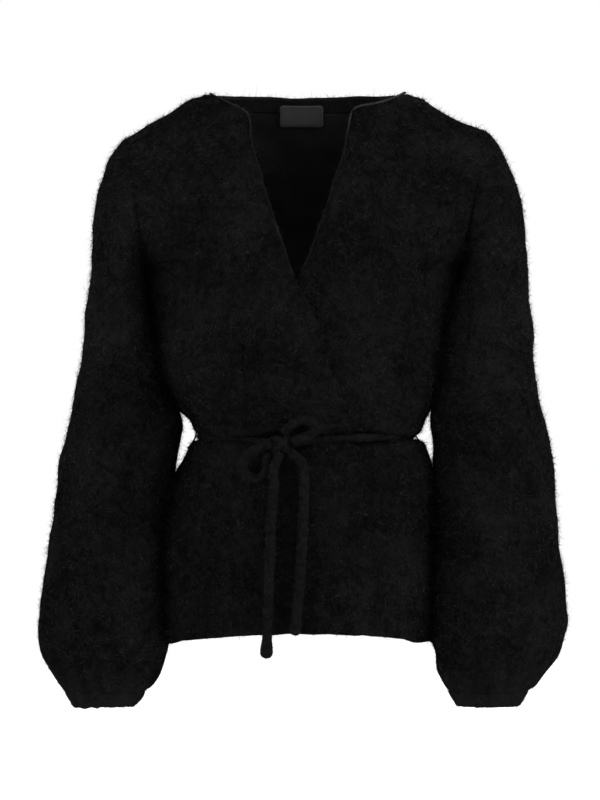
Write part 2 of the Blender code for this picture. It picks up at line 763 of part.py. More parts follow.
def neckband_piece(base):
    """The stand collar: it leans in and rises from its seam."""
    at_shoulder = ease((np.abs(base[:, 0]) / NECK_POINT[0] - 0.35) / 0.65)
    behind = base[:, 1] > 0
    lean = np.where(behind, BAND_LEAN["back"], BAND_LEAN["front"])
    lean = lean + (BAND_LEAN["shoulder"] - lean) * at_shoulder
    rise = np.where(behind, BAND_RISE["back"], BAND_RISE["front"])
    rise = rise + (BAND_RISE["shoulder"] - rise) * at_shoulder
    inwards = -unit(base * (1, 1, 0))
    way = inwards * lean[:, None] + np.array((0, 0, 1)) * rise[:, None]
    up = np.arange(BAND_ROWS + 1)[:, None, None] / BAND_ROWS
    piece = Piece("neckband", base + way * up, np.array((0, 0, 0.6)) - inwards, thickness=BAND_WALL)
    piece.proud[-1] = EDGE_ROLL
    return piece, way


def belt_route():
    """The belt's middle line round the waist, from the knot's left side, by the back, to its right side."""
    count = 64
    start = math.radians(90 - 6)
    route = []
    for turn in np.linspace(start, start - 2 * math.pi + math.radians(12), 4 * count):
        side = "left" if math.cos(turn) > 0 else "right"
        face = "front" if math.sin(turn) > 0 else "back"
        x = float(reach(side, BELT_HEIGHT)) * math.cos(turn)
        y = float(body_depth(x, BELT_HEIGHT, face)) * (-1 if face == "front" else 1)
        route.append((x, y, float(belt_height(x, y))))
    route = np.array(route)
    flat = np.gradient(route, axis=0) * (1, 1, 0)
    outward = unit(np.cross(flat, (0.0, 0.0, 1.0)))
    outward = outward * np.sign((outward * route).sum())
    in_front = route[:, 1] < 0
    lap = LAP * ease((route[:, 0] + 135) / 60) * ease((75 - route[:, 0]) / 25) * in_front
    out = WALL / 2 + CLEAR + CORD / 2 - GROOVE_DEPTH + lap
    route = route + outward * out[:, None]
    free = np.hypot(route[:, 0] - KNOT[0], route[:, 1] - KNOT[1]) > KNOT_RADII[0] + 13
    route = route[free][::5]
    ends = [np.array((KNOT[0] + way * (KNOT_RADII[0] - 1.5), KNOT[1] + 6.6, KNOT[2] + 2)) for way in (1, -1)]
    return smooth_route(np.concatenate([ends[:1], route, ends[1:]]), count)


def make_knot(material):
    """The tight knot: a rounded lump with the two turns of cord that cross on it."""
    rows, columns = 10, 16
    points = [np.array((0.0, 0.0, 1.0))]
    for i in range(1, rows):
        tilt = math.pi * i / rows
        for j in range(columns):
            turn = 2 * math.pi * j / columns
            way = np.array((math.sin(tilt) * math.cos(turn), math.sin(tilt) * math.sin(turn), math.cos(tilt)))
            cross = way[0] * 0.5 + way[2] * 0.86
            groove = 0.09 * math.exp(-((abs(cross) - 0.42) ** 2) / 0.012)
            points.append(way * (1 - groove))
    points.append(np.array((0.0, 0.0, -1.0)))
    last = len(points) - 1
    faces = []
    for j in range(columns):
        k = (j + 1) % columns
        faces.append((0, 1 + j, 1 + k))
        for i in range(rows - 2):
            a, b = 1 + i * columns, 1 + (i + 1) * columns
            faces.append((a + j, b + j, b + k, a + k))
        faces.append((last, last - columns + k, last - columns + j))
    return build_mesh("belt_knot", np.array(points) * KNOT_RADII + KNOT, faces, material)


def make_bow(material):
    """The loops and tails of the bow. A tail's end is a small round knob."""
    for name, route in ROUTES.items():
        points = smooth_route(route, STEPS_PER_ROUTE[name])
        radii = np.ones(len(points))
        if name == "belt_tail_long":
            radii[-3:-1] = END_KNOB
        radii[-1] = 0.7 if name.startswith("belt_tail") else 1
        cord(name, points, CORD, material, radii)


def make_thread_loop(side, material):
    """A thin thread loop at a side seam, round the belt."""
    heights = THREAD_LOOP["height"]
    at = np.zeros((len(heights), 3))
    at[:, 0] = SIGN[side] * reach(side, heights)
    at[:, 2] = heights
    surface = np.abs(at[:, 0]) - fold_depth(at) + WALL / 2
    belt_edge = reach(side, BELT_HEIGHT) + WALL / 2 + CLEAR
    at[:, 0] = SIGN[side] * (np.maximum(surface, belt_edge) + THREAD_LOOP["out"])
    return cord(f"belt_loop_{side}", smooth_route(at, 14), THREAD, material)


def make_label(material):
    """The neck label: a thin patch inside the back neck."""
    across = np.linspace(*LABEL_X, 7)
    up = np.linspace(*LABEL_Z, 4)
    x, z = np.meshgrid(across, up)
    low_y = body_depth(across, np.full_like(across, LABEL_Z[0]), "back")
    seam_y = body_depth(across, back_neckline(across), "back")
    lean = (LABEL_Z[1] - back_neckline(across)) / BAND_RISE["back"] * BAND_LEAN["back"]
    high_y = seam_y - lean
    share = (z - LABEL_Z[0]) / (LABEL_Z[1] - LABEL_Z[0])
    inside = BAND_WALL / 2 + LABEL_WALL / 2 + 0.4
    y = low_y[None] + (high_y - low_y)[None] * share - inside
    grid = np.stack([x, y, z], axis=-1)
    return wall(Piece("label", grid, np.array((0, -1, 0)), thickness=LABEL_WALL), material)


def keep_in_plane(piece, where, way):
    """Side and shoulder seams lie in the plane Y = 0: their walls stand in it, half a gap to one side."""
    piece.normals[where + (1,)] = 0
    piece.normals[where] = unit(piece.normals[where])
    piece.grid[where + (1,)] += way * SEAM / 2


def cuff_piece(side, sleeve_end):
    """A cuff, sewn level under its sleeve."""
    grid, middle = rings(side, CUFF[side])
    piece = Piece(f"cuff_{side}", grid, grid - middle, closed=True)
    shared = unit(unit(piece.normals[0] + sleeve_end.normals[-1]) * (1, 1, 0))
    piece.normals[0] = sleeve_end.normals[-1] = shared
    piece.grid[0, :, 2] -= SEAM / 2
    sleeve_end.grid[-1, :, 2] += SEAM / 2
    return piece


def make_cloth(material):
    """The fronts, back, sleeves, cuffs and neckband, sewn along their shared points."""
    fronts = {side: front_panel(side) for side in SIGN}
    back = back_panel()
    start = underarm_row("right")
    pieces = [*fronts.values(), back]
    seam_points, panel_sides, places = neckline(fronts, back)
    band, way = neckband_piece(seam_points)
    sew(seam_points, way, SEAM, False, panel_sides, [(band, (0,), places)])
    steps = np.arange(ARMHOLE_ROWS + 1)
    for side, back_column in (("right", 0), ("left", -1)):
        tube = sleeve(side)
        panels = [
            (fronts[side], (slice(start, None), 0), ARMHOLE_ROWS - steps),
            (back, (slice(start, None), back_column), (ARMHOLE_ROWS + steps) % RING_POINTS),
        ]
        ring = tube.grid[0].copy()
        sew(ring, tube.grid[1] - ring, ARMHOLE_SEAM, True, panels, [(tube, (0,), np.arange(RING_POINTS))])
        pieces += [tube, cuff_piece(side, tube)]
    seam = slice(None, start + 1)
    for front in fronts.values():
        keep_in_plane(front, (seam, 0), -1)
        keep_in_plane(front, (-1, slice(None)), -1)
    shoulders = (slice(None, SHOULDER_COLUMNS + 1), slice(-SHOULDER_COLUMNS - 1, None))
    for where in ((seam, 0), (seam, -1), (-1, shoulders[0]), (-1, shoulders[1])):
        keep_in_plane(back, where, 1)
    for piece in (*pieces, band):
        wall(piece, material)


def main():
    for obj in list(bpy.data.objects):
        bpy.data.objects.remove(obj)
    knit, cord_knit, label = (make_material(name) for name in ("knit", "cord", "label"))
    make_cloth(knit)
    cord("belt", belt_route(), CORD, cord_knit)
    make_knot(cord_knit)
    make_bow(cord_knit)
    for side in SIGN:
        make_thread_loop(side, cord_knit)
    make_label(label)


main()
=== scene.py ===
"""The looks of a chunky wrap cardigan: brushed black knit with loose hairs, knitted cords and a neck label.

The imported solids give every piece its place. Each cloth solid is copied, smoothed and given soft creases,
its pile is grown on it as real fibres, and each cord is made again as a knitted tube on the solid's route.
Lengths are in metres. X runs to the wearer's left, the front faces -Y, and Z is up.
"""

import logging
import math
from dataclasses import dataclass, field
from enum import Enum

import bmesh
import bpy
import numpy as np
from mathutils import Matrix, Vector
from mathutils.bvhtree import BVHTree


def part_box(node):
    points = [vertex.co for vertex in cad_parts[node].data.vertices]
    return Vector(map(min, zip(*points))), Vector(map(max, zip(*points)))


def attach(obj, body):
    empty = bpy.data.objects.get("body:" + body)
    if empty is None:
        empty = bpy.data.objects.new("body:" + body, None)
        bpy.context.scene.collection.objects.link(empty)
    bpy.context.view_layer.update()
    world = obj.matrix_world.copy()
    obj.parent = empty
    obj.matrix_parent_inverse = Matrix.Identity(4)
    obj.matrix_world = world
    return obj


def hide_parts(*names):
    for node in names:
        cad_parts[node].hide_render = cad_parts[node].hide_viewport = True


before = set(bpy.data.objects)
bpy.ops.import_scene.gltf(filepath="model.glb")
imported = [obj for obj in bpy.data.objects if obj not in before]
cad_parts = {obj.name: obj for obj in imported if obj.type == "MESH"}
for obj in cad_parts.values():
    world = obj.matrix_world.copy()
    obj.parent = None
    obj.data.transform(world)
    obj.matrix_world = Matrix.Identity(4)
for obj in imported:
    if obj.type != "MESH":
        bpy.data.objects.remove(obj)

LOG = logging.getLogger("cardigan")
MM = 0.001
BODY = "root"

# How a solid's loose triangles become quads: points this near are one, and these edges stay corners.
SAME_POINT = 1e-6
FLATTEST_PAIR = math.radians(100)
SQUAREST_QUAD = math.radians(120)
GRID_PULL = 1.6
SHARP = math.radians(50)

# How finely a curve goes through its points, and how often a smooth surface is fitted to its own.
CURVE_STEPS = 12
FITS = 3

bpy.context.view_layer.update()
Point = tuple[float, float, float]
Colour = tuple[float, float, float]


class Held(Enum):
    """How a sheet of cloth hangs."""

    HUNG = "hung"
    GATHERED = "gathered"
    STRETCHED = "stretched"
    LAID = "laid"


# Shader maths.


@dataclass(frozen=True)
class Signal:
    """A shader value that takes part in ordinary sums.

    Args:
        tree: the material's node maker.
        socket: the output socket that carries the value.
    """

    tree: "Shader"
    socket: bpy.types.NodeSocket

    def _sum(self, operation: str, first: object, second: object) -> "Signal":
        """Adds one Math node and returns its value."""
        node = self.tree.node("ShaderNodeMath", {"operation": operation}, {0: first, 1: second})
        return self.tree.value(node, 0)

    def __add__(self, other: object) -> "Signal":
        """self + other"""
        return self._sum("ADD", self, other)

    def __radd__(self, other: object) -> "Signal":
        """other + self"""
        return self._sum("ADD", other, self)

    def __sub__(self, other: object) -> "Signal":
        """self - other"""
        return self._sum("SUBTRACT", self, other)

    def __rsub__(self, other: object) -> "Signal":
        """other - self"""
        return self._sum("SUBTRACT", other, self)

    def __mul__(self, other: object) -> "Signal":
        """self * other"""
        return self._sum("MULTIPLY", self, other)

    def __rmul__(self, other: object) -> "Signal":
        """other * self"""
        return self._sum("MULTIPLY", other, self)

    def __truediv__(self, other: object) -> "Signal":
        """self / other"""
        return self._sum("DIVIDE", self, other)

    def __pow__(self, other: object) -> "Signal":
        """self ** other"""
        return self._sum("POWER", self, other)

    def part(self) -> "Signal":
        """The part after the decimal point."""
        return self._sum("FRACT", self, 0.0)

    def size(self) -> "Signal":
        """The value without its sign."""
        return self._sum("ABSOLUTE", self, 0.0)

    def wave(self) -> "Signal":
        """The sine of the value in radians."""
        return self._sum("SINE", self, 0.0)

    def between(self, low: float, high: float) -> "Signal":
        """0 at low, 1 at high, with a smooth step between them."""
        step = {"interpolation_type": "SMOOTHSTEP"}
        return self.tree.value(self.tree.node("ShaderNodeMapRange", step, {0: self, 1: low, 2: high}), 0)


class Shader:
    """Makes one material and the nodes in it."""

    def __init__(self, name: str) -> None:
        """Starts a material with a Principled shader.

        Args:
            name: the material's name.
        """
        self.material = bpy.data.materials.new(name)
        self.material.use_nodes = True
        self.nodes = self.material.node_tree.nodes
        self.links = self.material.node_tree.links
        self.surface = self.nodes["Principled BSDF"]

    def node(self, kind: str, settings: dict[str, object], sockets: dict[object, object]) -> bpy.types.Node:
        """Adds one node.

        Args:
            kind: the node's type.
            settings: its properties, set first.
            sockets: a value, a Signal or an output socket for each input, by name or number.

        Returns:
            The node.
        """
        node = self.nodes.new(kind)
        for key, value in settings.items():
            setattr(node, key, value)
        for key, value in sockets.items():
            self.feed(node.inputs[key], value)
        return node

    def feed(self, socket: bpy.types.NodeSocket, value: object) -> None:
        """Links a value to an input socket, or sets it there.

        Args:
            socket: the input.
            value: a number or colour, a Signal or an output socket.
        """
        if isinstance(value, Signal):
            self.links.new(value.socket, socket)
        elif isinstance(value, bpy.types.NodeSocket):
            self.links.new(value, socket)
        else:
            socket.default_value = value

    def value(self, node: bpy.types.Node, output: object) -> Signal:
        """One output of a node as a Signal."""
        return Signal(self, node.outputs[output])

    def place(self, centre: Point = (0.0, 0.0, 0.0), scale: Point = (1.0, 1.0, 1.0)) -> bpy.types.NodeSocket:
        """The surface point in the piece's own metres, moved to a centre and scaled.

        Args:
            centre: how far it is moved.
            scale: how it is scaled along each axis.

        Returns:
            The point as a vector link.
        """
        source = self.node("ShaderNodeTexCoord", {}, {})
        sockets = {"Vector": source.outputs["Object"], "Location": centre, "Scale": scale}
        return self.node("ShaderNodeMapping", {}, sockets).outputs[0]

    def noise(self, at: object, scale: float, detail: float, warp: float = 0.0) -> Signal:
        """Cloudy noise between 0 and 1."""
        sockets = {"Vector": at, "Scale": scale, "Detail": detail, "Roughness": 0.6, "Distortion": warp}
        return self.value(self.node("ShaderNodeTexNoise", {}, sockets), 0)

    def blend(self, share: Signal, low: object, high: Colour) -> bpy.types.NodeSocket:
        """A colour between two others, of which the low one may be a link."""
        start = low if isinstance(low, bpy.types.NodeSocket) else (*low, 1.0)
        sockets = {0: share, 6: start, 7: (*high, 1.0)}
        return self.node("ShaderNodeMix", {"data_type": "RGBA"}, sockets).outputs[2]

    def raise_by(self, height: Signal, distance: float) -> None:
        """Feeds a height in parts of a distance to the surface's normal."""
        bump = self.node("ShaderNodeBump", {}, {"Height": height, "Distance": distance, "Strength": 1.0})
        self.links.new(bump.outputs[0], self.surface.inputs["Normal"])

    def finish(self, **values: object) -> bpy.types.Material:
        """Sets the shader's inputs by name, with underscores for spaces, and returns the material.

        Args:
            values: a value or link for each input.

        Returns:
            The finished material.
        """
        for name, value in values.items():
            self.feed(self.surface.inputs[name.replace("_", " ")], value)
        return self.material


def mixed(signals: tuple[Signal, ...], shares: tuple[float, ...]) -> Signal:
    """The sum of some signals, each times its share."""
    parts = [signal * share for signal, share in zip(signals, shares)]
    return sum(parts[1:], parts[0])


@dataclass(frozen=True)
class BrushedKnit:
    """Brushed wool knit: rows of stitches almost hidden by matted pile.

    Args:
        name: the material's name.
        deep: the colour where the relief is low, which paints shade into the hollows, and of the darker
            clouds.
        bright: the colour where the relief is high, on the tips, and of the lighter clouds.
        lit: the colour of the painted light: a highlight on the turned edges, fill light inside the neck,
            and the lighter sleeve ends.
        wale: width of a column of stitches, in metres.
        course: height of a row of stitches, in metres.
        slant: how far a stitch's arms slope down, in rows.
        stitch_height: the relief of the whole surface.
        clumps: clumps of pile in a metre.
        mats: matted locks in a metre.
        strands: single strands in a metre.
        clouds: broad shades in a metre.
        dark_end: the sum of the fields that gives the deep colour.
        light_end: the sum that gives the bright one.
        heights: the shares of stitches, mats, clumps and strands in the relief.
        shades: the shares of mats, clumps, clouds, strands and stitches in the colour.
    """

    name: str = "brushed_knit"
    deep: Colour = (0.0011, 0.0011, 0.0011)
    bright: Colour = (0.0054, 0.0053, 0.0054)
    lit: Colour = (0.0100, 0.0098, 0.0100)
    wale: float = 0.0052
    course: float = 0.0040
    slant: float = 1.6
    stitch_height: float = 0.0009
    clumps: float = 120.0
    mats: float = 420.0
    strands: float = 900.0
    clouds: float = 14.0
    dark_end: float = 1.25
    light_end: float = 2.05
    heights: tuple[float, ...] = (0.12, 0.9, 0.9, 0.35)
    shades: tuple[float, ...] = (0.9, 0.9, 0.8, 0.5, 0.06)

    def make(self) -> bpy.types.Material:
        """Builds the material, on a UV map of metres across and along the knit.

        Returns:
            The material.
        """
        shader = Shader(self.name)
        uv = shader.node("ShaderNodeUVMap", {"uv_map": "knit"}, {})
        parts = shader.node("ShaderNodeSeparateXYZ", {}, {0: uv.outputs[0]})
        across = (shader.value(parts, 0) / self.wale).part() - 0.5
        along = (shader.value(parts, 1) / self.course + across.size() * self.slant).part() - 0.5
        stitch = (1.0 - (across.size() * 2.0) ** 2.0) * (1.0 - (along.size() * 2.0) ** 3.0)
        at = shader.place()
        clump = shader.noise(at, self.clumps, 3.0, 0.6)
        matted = shader.noise(shader.place(scale=(1.0, 1.0, 0.55)), self.mats, 4.0, 2.2)
        strand = shader.noise(at, self.strands, 2.0, 3.0)
        cloud = shader.noise(at, self.clouds, 2.0)
        shader.raise_by(mixed((stitch, matted, clump, strand), self.heights), self.stitch_height)
        # The colour follows the stitches, mats, clumps and strands of the relief, which paints shade into
        # the hollows; the clouds are random tone.
        light = mixed((matted, clump, cloud, strand, stitch), self.shades)
        ground = shader.blend(light.between(self.dark_end, self.light_end), self.deep, self.bright)
        # Painted light: a highlight on the turned edges, fill light inside the neck and lighter sleeve ends,
        # read from the painted_light field.
        painted_light = shader.value(shader.node("ShaderNodeAttribute", {"attribute_name": "painted_light"}, {}), "Fac")
        colour = shader.blend(painted_light, ground, self.lit)
        return shader.finish(Base_Color=colour, Roughness=1.0, Specular_IOR_Level=0.0)


@dataclass(frozen=True)
class WoolHair:
    """Loose wool hairs, a little glossy, in locks that are darker and lighter.

    Args:
        name: the material's name.
        deep: the darkest hairs' colour.
        bright: the lightest hairs' colour.
        locks: small locks in a metre, which vary most.
        tufts: larger tufts in a metre.
        clouds: broad shades in a metre.
        dark_end: the sum of the fields that gives the deep colour.
        light_end: the sum that gives the bright one.
        shades: the shares of locks, tufts and clouds in the colour.
    """

    name: str
    deep: Colour = (0.0018, 0.0018, 0.0018)
    bright: Colour = (0.0176, 0.0172, 0.0175)
    locks: float = 260.0
    tufts: float = 75.0
    clouds: float = 13.0
    dark_end: float = 0.90
    light_end: float = 1.46
    shades: tuple[float, ...] = (1.0, 0.8, 0.4)

    def make(self) -> bpy.types.Material:
        """Builds the material.

        Returns:
            The material.
        """
        shader = Shader(self.name)
        at = shader.place()
        fields = ((self.locks, 1.0), (self.tufts, 2.0), (self.clouds, 1.0))
        tone = mixed(tuple(shader.noise(at, rate, detail) for rate, detail in fields), self.shades)
        colour = shader.blend(tone.between(self.dark_end, self.light_end), self.deep, self.bright)
        return shader.finish(Base_Color=colour, Roughness=0.7, Specular_IOR_Level=0.03)


@dataclass(frozen=True)
class CordYarn:
    """The yarn of a knitted cord.

    Args:
        name: the material's name.
        deep: the colour between the plies, painted shade where the relief is low.
        bright: the colour on top of them.
        plies: plies in a metre.
        patches: lighter and darker patches in a metre.
        relief: how far a ply stands up.
        raised: the shares of plies and patches in the relief.
        shades: their shares in the colour.
        ends: the sums that give the deep and the bright colour.
    """

    name: str = "cord_yarn"
    deep: Colour = (0.0009, 0.0009, 0.0009)
    bright: Colour = (0.0046, 0.0045, 0.0046)
    plies: float = 1500.0
    patches: float = 160.0
    relief: float = 0.0005
    raised: tuple[float, ...] = (0.8, 0.4)
    shades: tuple[float, ...] = (0.9, 0.7)
    ends: tuple[float, float] = (0.5, 1.1)

    def make(self) -> bpy.types.Material:
        """Builds the material.

        Returns:
            The material.
        """
        shader = Shader(self.name)
        at = shader.place()
        ply = shader.noise(shader.place(scale=(1.0, 1.0, 0.4)), self.plies, 3.0, 1.2)
        patch = shader.noise(at, self.patches, 2.0)
        shader.raise_by(mixed((ply, patch), self.raised), self.relief)
        # The colour follows the plies and patches of the relief, which paints shade between the plies.
        light = mixed((ply, patch), self.shades).between(*self.ends)
        colour = shader.blend(light, self.deep, self.bright)
        return shader.finish(Base_Color=colour, Roughness=0.95, Specular_IOR_Level=0.02)


@dataclass(frozen=True)
class EdgeYarn:
    """The yarn of the rolled knit edge, with a painted highlight that is stronger along the neckband than
    down the V, and stronger towards the wearer's left, where the light falls.

    Args:
        name: the material's name.
        deep: the colour between the plies, painted shade where the relief is low.
        bright: the colour on top of them.
        highlight: the colour where the painted highlight is strongest.
        plies: plies in a metre.
        patches: lighter and darker patches in a metre.
        relief: how far a ply stands up.
        heights: where the painted highlight starts and is full, from the V up.
        sides: X where the painted highlight is least and most.
        least: the least painted highlight along X.
        patchy: how much of the painted highlight follows the patches, and how much is everywhere.
        raised: the shares of plies and patches in the relief.
        shades: their shares in the colour.
        ends: the sums that give the deep and the bright colour.
    """

    name: str = "edge_yarn"
    deep: Colour = (0.0016, 0.0016, 0.0016)
    bright: Colour = (0.0048, 0.0047, 0.0048)
    rubbed: Colour = (0.0170, 0.0167, 0.0170)
    plies: float = 1300.0
    patches: float = 130.0
    relief: float = 0.0004
    heights: tuple[float, float] = (-0.050, -0.018)
    sides: tuple[float, float] = (-0.07, 0.08)
    least: float = 0.3
    patchy: tuple[float, float] = (0.7, 0.45)
    raised: tuple[float, ...] = (0.8, 0.4)
    shades: tuple[float, ...] = (0.8, 0.9)
    ends: tuple[float, float] = (0.55, 1.15)

    def make(self) -> bpy.types.Material:
        """Builds the material.

        Returns:
            The material.
        """
        shader = Shader(self.name)
        at = shader.place()
        parts = shader.node("ShaderNodeSeparateXYZ", {}, {0: at})
        ply = shader.noise(at, self.plies, 3.0, 1.2)
        patch = shader.noise(at, self.patches, 2.0)
        shader.raise_by(mixed((ply, patch), self.raised), self.relief)
        # The colour follows the plies and patches of the relief, which paints shade between the plies.
        light = mixed((ply, patch), self.shades).between(*self.ends)
        plain = shader.blend(light, self.deep, self.bright)
        # The painted highlight: full up the V towards the neckband and on the wearer's left, the lit side,
        # and partly following the patches.
        high = shader.value(parts, 2).between(*self.heights)
        towards_lit_side = shader.value(parts, 0).between(*self.sides) * (1 - self.least) + self.least
        painted_light = high * towards_lit_side * (patch * self.patchy[0] + self.patchy[1])
        colour = shader.blend(painted_light, plain, self.rubbed)
        return shader.finish(Base_Color=colour, Roughness=0.9, Specular_IOR_Level=0.03)


@dataclass(frozen=True)
class LabelWeave:
    """A dark grey woven ribbon with fine ribs across it.

    Args:
        name: the material's name.
        deep: the colour between the ribs, painted shade where the relief is low.
        bright: the colour on top of them.
        rib: distance between two ribs.
        clouds: broad shades in a metre.
        relief: how far a rib stands up.
        warp_rate: warp threads to a rib.
        raised: the shares of weft and warp in the relief.
        shades: the shares of weft, warp and clouds in the colour.
        ends: the sums that give the deep and the bright colour.
    """

    name: str = "label_weave"
    deep: Colour = (0.0145, 0.0145, 0.0150)
    bright: Colour = (0.0290, 0.0290, 0.0300)
    rib: float = 0.0006
    clouds: float = 90.0
    relief: float = 0.0002
    warp_rate: float = 0.8
    raised: tuple[float, ...] = (0.7, 0.5)
    shades: tuple[float, ...] = (0.4, 0.3, 0.6)
    ends: tuple[float, float] = (0.3, 1.1)

    def make(self) -> bpy.types.Material:
        """Builds the material.

        Returns:
            The material.
        """
        shader = Shader(self.name)
        parts = shader.node("ShaderNodeSeparateXYZ", {}, {0: shader.place()})
        full_turn = 2 * math.pi / self.rib
        weft = (shader.value(parts, 2) * full_turn).wave() * 0.5 + 0.5
        warp = (shader.value(parts, 0) * (full_turn * self.warp_rate)).wave() * 0.5 + 0.5
        cloud = shader.noise(shader.place(), self.clouds, 2.0)
        shader.raise_by(mixed((weft, warp), self.raised), self.relief)
        # The weft and warp that raise the ribs also darken the hollows between them, which paints shade; the
        # clouds are random tone.
        light = mixed((weft, warp, cloud), self.shades).between(*self.ends)
        colour = shader.blend(light, self.deep, self.bright)
        return shader.finish(Base_Color=colour, Roughness=0.7, Specular_IOR_Level=0.2)


@dataclass(frozen=True)
class StudioPaper:
    """The plain pale floor, with a trace of grain.

    Args:
        name: the material's name.
        deep: the darker grains' colour.
        bright: the lighter grains' colour.
        grains: grains in a metre.
    """

    name: str = "studio_paper"
    deep: Colour = (0.975, 0.975, 0.975)
    bright: Colour = (0.985, 0.985, 0.985)
    grains: float = 30.0

    def make(self) -> bpy.types.Material:
        """Builds the material.

        Returns:
            The material.
        """
        shader = Shader(self.name)
        grain = shader.noise(shader.place(), self.grains, 2.0)
        return shader.finish(Base_Color=shader.blend(grain, self.deep, self.bright), Roughness=0.95)


# Meshes.


def link(name: str, mesh: bpy.types.Mesh) -> bpy.types.Object:
    """Puts a mesh in the scene as an object at the origin.

    Args:
        name: the object's name.
        mesh: its mesh.

    Returns:
        The object.
    """
    obj = bpy.data.objects.new(name, mesh)
    bpy.context.scene.collection.objects.link(obj)
    return obj


def mesh_of(name: str, points: np.ndarray, faces: list[tuple[int, ...]]) -> bpy.types.Mesh:
    """A smooth-shaded mesh from points and faces.

    Args:
        name: the mesh's name.
        points: its points, one row each.
        faces: the points of each face.

    Returns:
        The mesh.
    """
    mesh = bpy.data.meshes.new(name)
    mesh.from_pydata(points.tolist(), [], faces)
    mesh.shade_smooth()
    return mesh


def rows_of(items: bpy.types.bpy_prop_collection, name: str) -> np.ndarray:
    """A vector of each item of a mesh, one row each.

    Args:
        items: the mesh's points or their normals.
        name: the vector's name.

    Returns:
        The rows.
    """
    flat = np.empty(len(items) * 3, np.float32)
    items.foreach_get(name, flat)
    return flat.reshape(-1, 3).astype(float)


def whole_numbers(items: bpy.types.bpy_prop_collection, name: str) -> np.ndarray:
    """A whole number of each item of a mesh.

    Args:
        items: the mesh's loops or faces.
        name: the number's name.

    Returns:
        The numbers.
    """
    values = np.empty(len(items), np.int32)
    items.foreach_get(name, values)
    return values


def points_of(mesh: bpy.types.Mesh) -> np.ndarray:
    """A mesh's points, one row each."""
    return rows_of(mesh.vertices, "co")


def normals_of(mesh: bpy.types.Mesh) -> np.ndarray:
    """A mesh's point normals, one row each."""
    return rows_of(mesh.vertex_normals, "vector")


def move_points(mesh: bpy.types.Mesh, points: np.ndarray) -> None:
    """Puts a mesh's points elsewhere."""
    mesh.vertices.foreach_set("co", points.astype(np.float32).ravel())
    mesh.update()


def triangles(obj: bpy.types.Object) -> int:
    """How many triangles an object's mesh has."""
    return len(obj.data.loops) - 2 * len(obj.data.polygons)


def unit(rows: np.ndarray) -> np.ndarray:
    """The same vectors, one unit long."""
    return rows / np.maximum(np.linalg.norm(rows, axis=-1, keepdims=True), 1e-12)


def ease(t: np.ndarray) -> np.ndarray:
    """0 below 0, 1 above 1, and a smooth step between."""
    t = np.clip(t, 0, 1)
    return t * t * (3 - 2 * t)


def ramp(values: np.ndarray, low: float, high: float) -> np.ndarray:
    """0 up to the low value, 1 from the high one, and a smooth step between."""
    return ease((values - low) / (high - low))


def bell(values: np.ndarray, middle: float | np.ndarray, width: float, power: int = 2) -> np.ndarray:
    """1 at the middle, and smoothly down to 0 some widths away from it."""
    return np.exp(-(((values - middle) / width) ** power))


def evaluated_mesh(obj: bpy.types.Object) -> bpy.types.Mesh:
    """A plain mesh of the object with its modifiers applied."""
    graph = bpy.context.evaluated_depsgraph_get()
    return bpy.data.meshes.new_from_object(obj.evaluated_get(graph))


def quads_of_node(node: str) -> tuple[bpy.types.Mesh, np.ndarray]:
    """Copies a CAD node as a closed mesh of quads.

    Args:
        node: the CAD node's name.

    Returns:
        The mesh, and True for each point on a sharp corner of the wall.
    """
    solid = bmesh.new()
    solid.from_mesh(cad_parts[node].data)
    bmesh.ops.remove_doubles(solid, verts=solid.verts[:], dist=SAME_POINT)
    bmesh.ops.join_triangles(
        solid,
        faces=solid.faces[:],
        angle_face_threshold=FLATTEST_PAIR,
        angle_shape_threshold=SQUAREST_QUAD,
        topology_influence=GRID_PULL,
    )
    solid.verts.index_update()
    corner = np.zeros(len(solid.verts), bool)
    for edge in solid.edges:
        if edge.is_manifold and edge.calc_face_angle(0) > SHARP:
            corner[[v.index for v in edge.verts]] = True
    mesh = bpy.data.meshes.new(node)
    solid.to_mesh(mesh)
    solid.free()
    mesh.shade_smooth()
    return mesh, corner


def smooth_through(obj: bpy.types.Object, corner: np.ndarray, levels: int, keep: float) -> bpy.types.Mesh:
    """Subdivides a mesh so that the smooth surface goes through its points, and its corners turn round.

    Args:
        obj: an object with the coarse mesh.
        corner: True for the points on sharp corners.
        levels: how often each face is split.
        keep: how far a corner point is held out, from 0 to 1.

    Returns:
        The fine mesh.
    """
    wanted = points_of(obj.data)
    count = len(wanted)
    hold = np.where(corner, keep, 1.0)[:, None]
    modifier = obj.modifiers.new("smooth", "SUBSURF")
    modifier.levels = modifier.render_levels = 1
    for _ in range(FITS):
        trial = evaluated_mesh(obj)
        move_points(obj.data, points_of(obj.data) + (wanted - points_of(trial)[:count]) * hold)
        bpy.data.meshes.remove(trial)
    modifier.levels = modifier.render_levels = levels
    fine = evaluated_mesh(obj)
    obj.modifiers.remove(modifier)
    return fine


@dataclass(frozen=True)
class Ripple:
    """A smooth random field made of waves, the same on every run.

    Args:
        length: the mean wavelength.
        height: the field's usual size.
        seed: fixes its waves.
        stretch: how much longer the waves are along each axis.
        count: how many waves it has.
    """

    length: float
    height: float
    seed: int
    stretch: Point = (1.0, 1.0, 1.0)
    count: int = 22

    def at(self, points: np.ndarray) -> np.ndarray:
        """The field's value at each point.

        Args:
            points: the points, one row each.

        Returns:
            A value for each.
        """
        chance = np.random.default_rng(self.seed)
        way = unit(chance.normal(size=(self.count, 3))) / np.array(self.stretch)
        rate = 2 * math.pi / (self.length * chance.uniform(0.7, 1.5, self.count))
        phase = chance.uniform(0, 2 * math.pi, self.count)
        waves = np.cos(points @ (way * rate[:, None]).T + phase)
        return waves.sum(-1) * self.height * math.sqrt(2 / self.count)


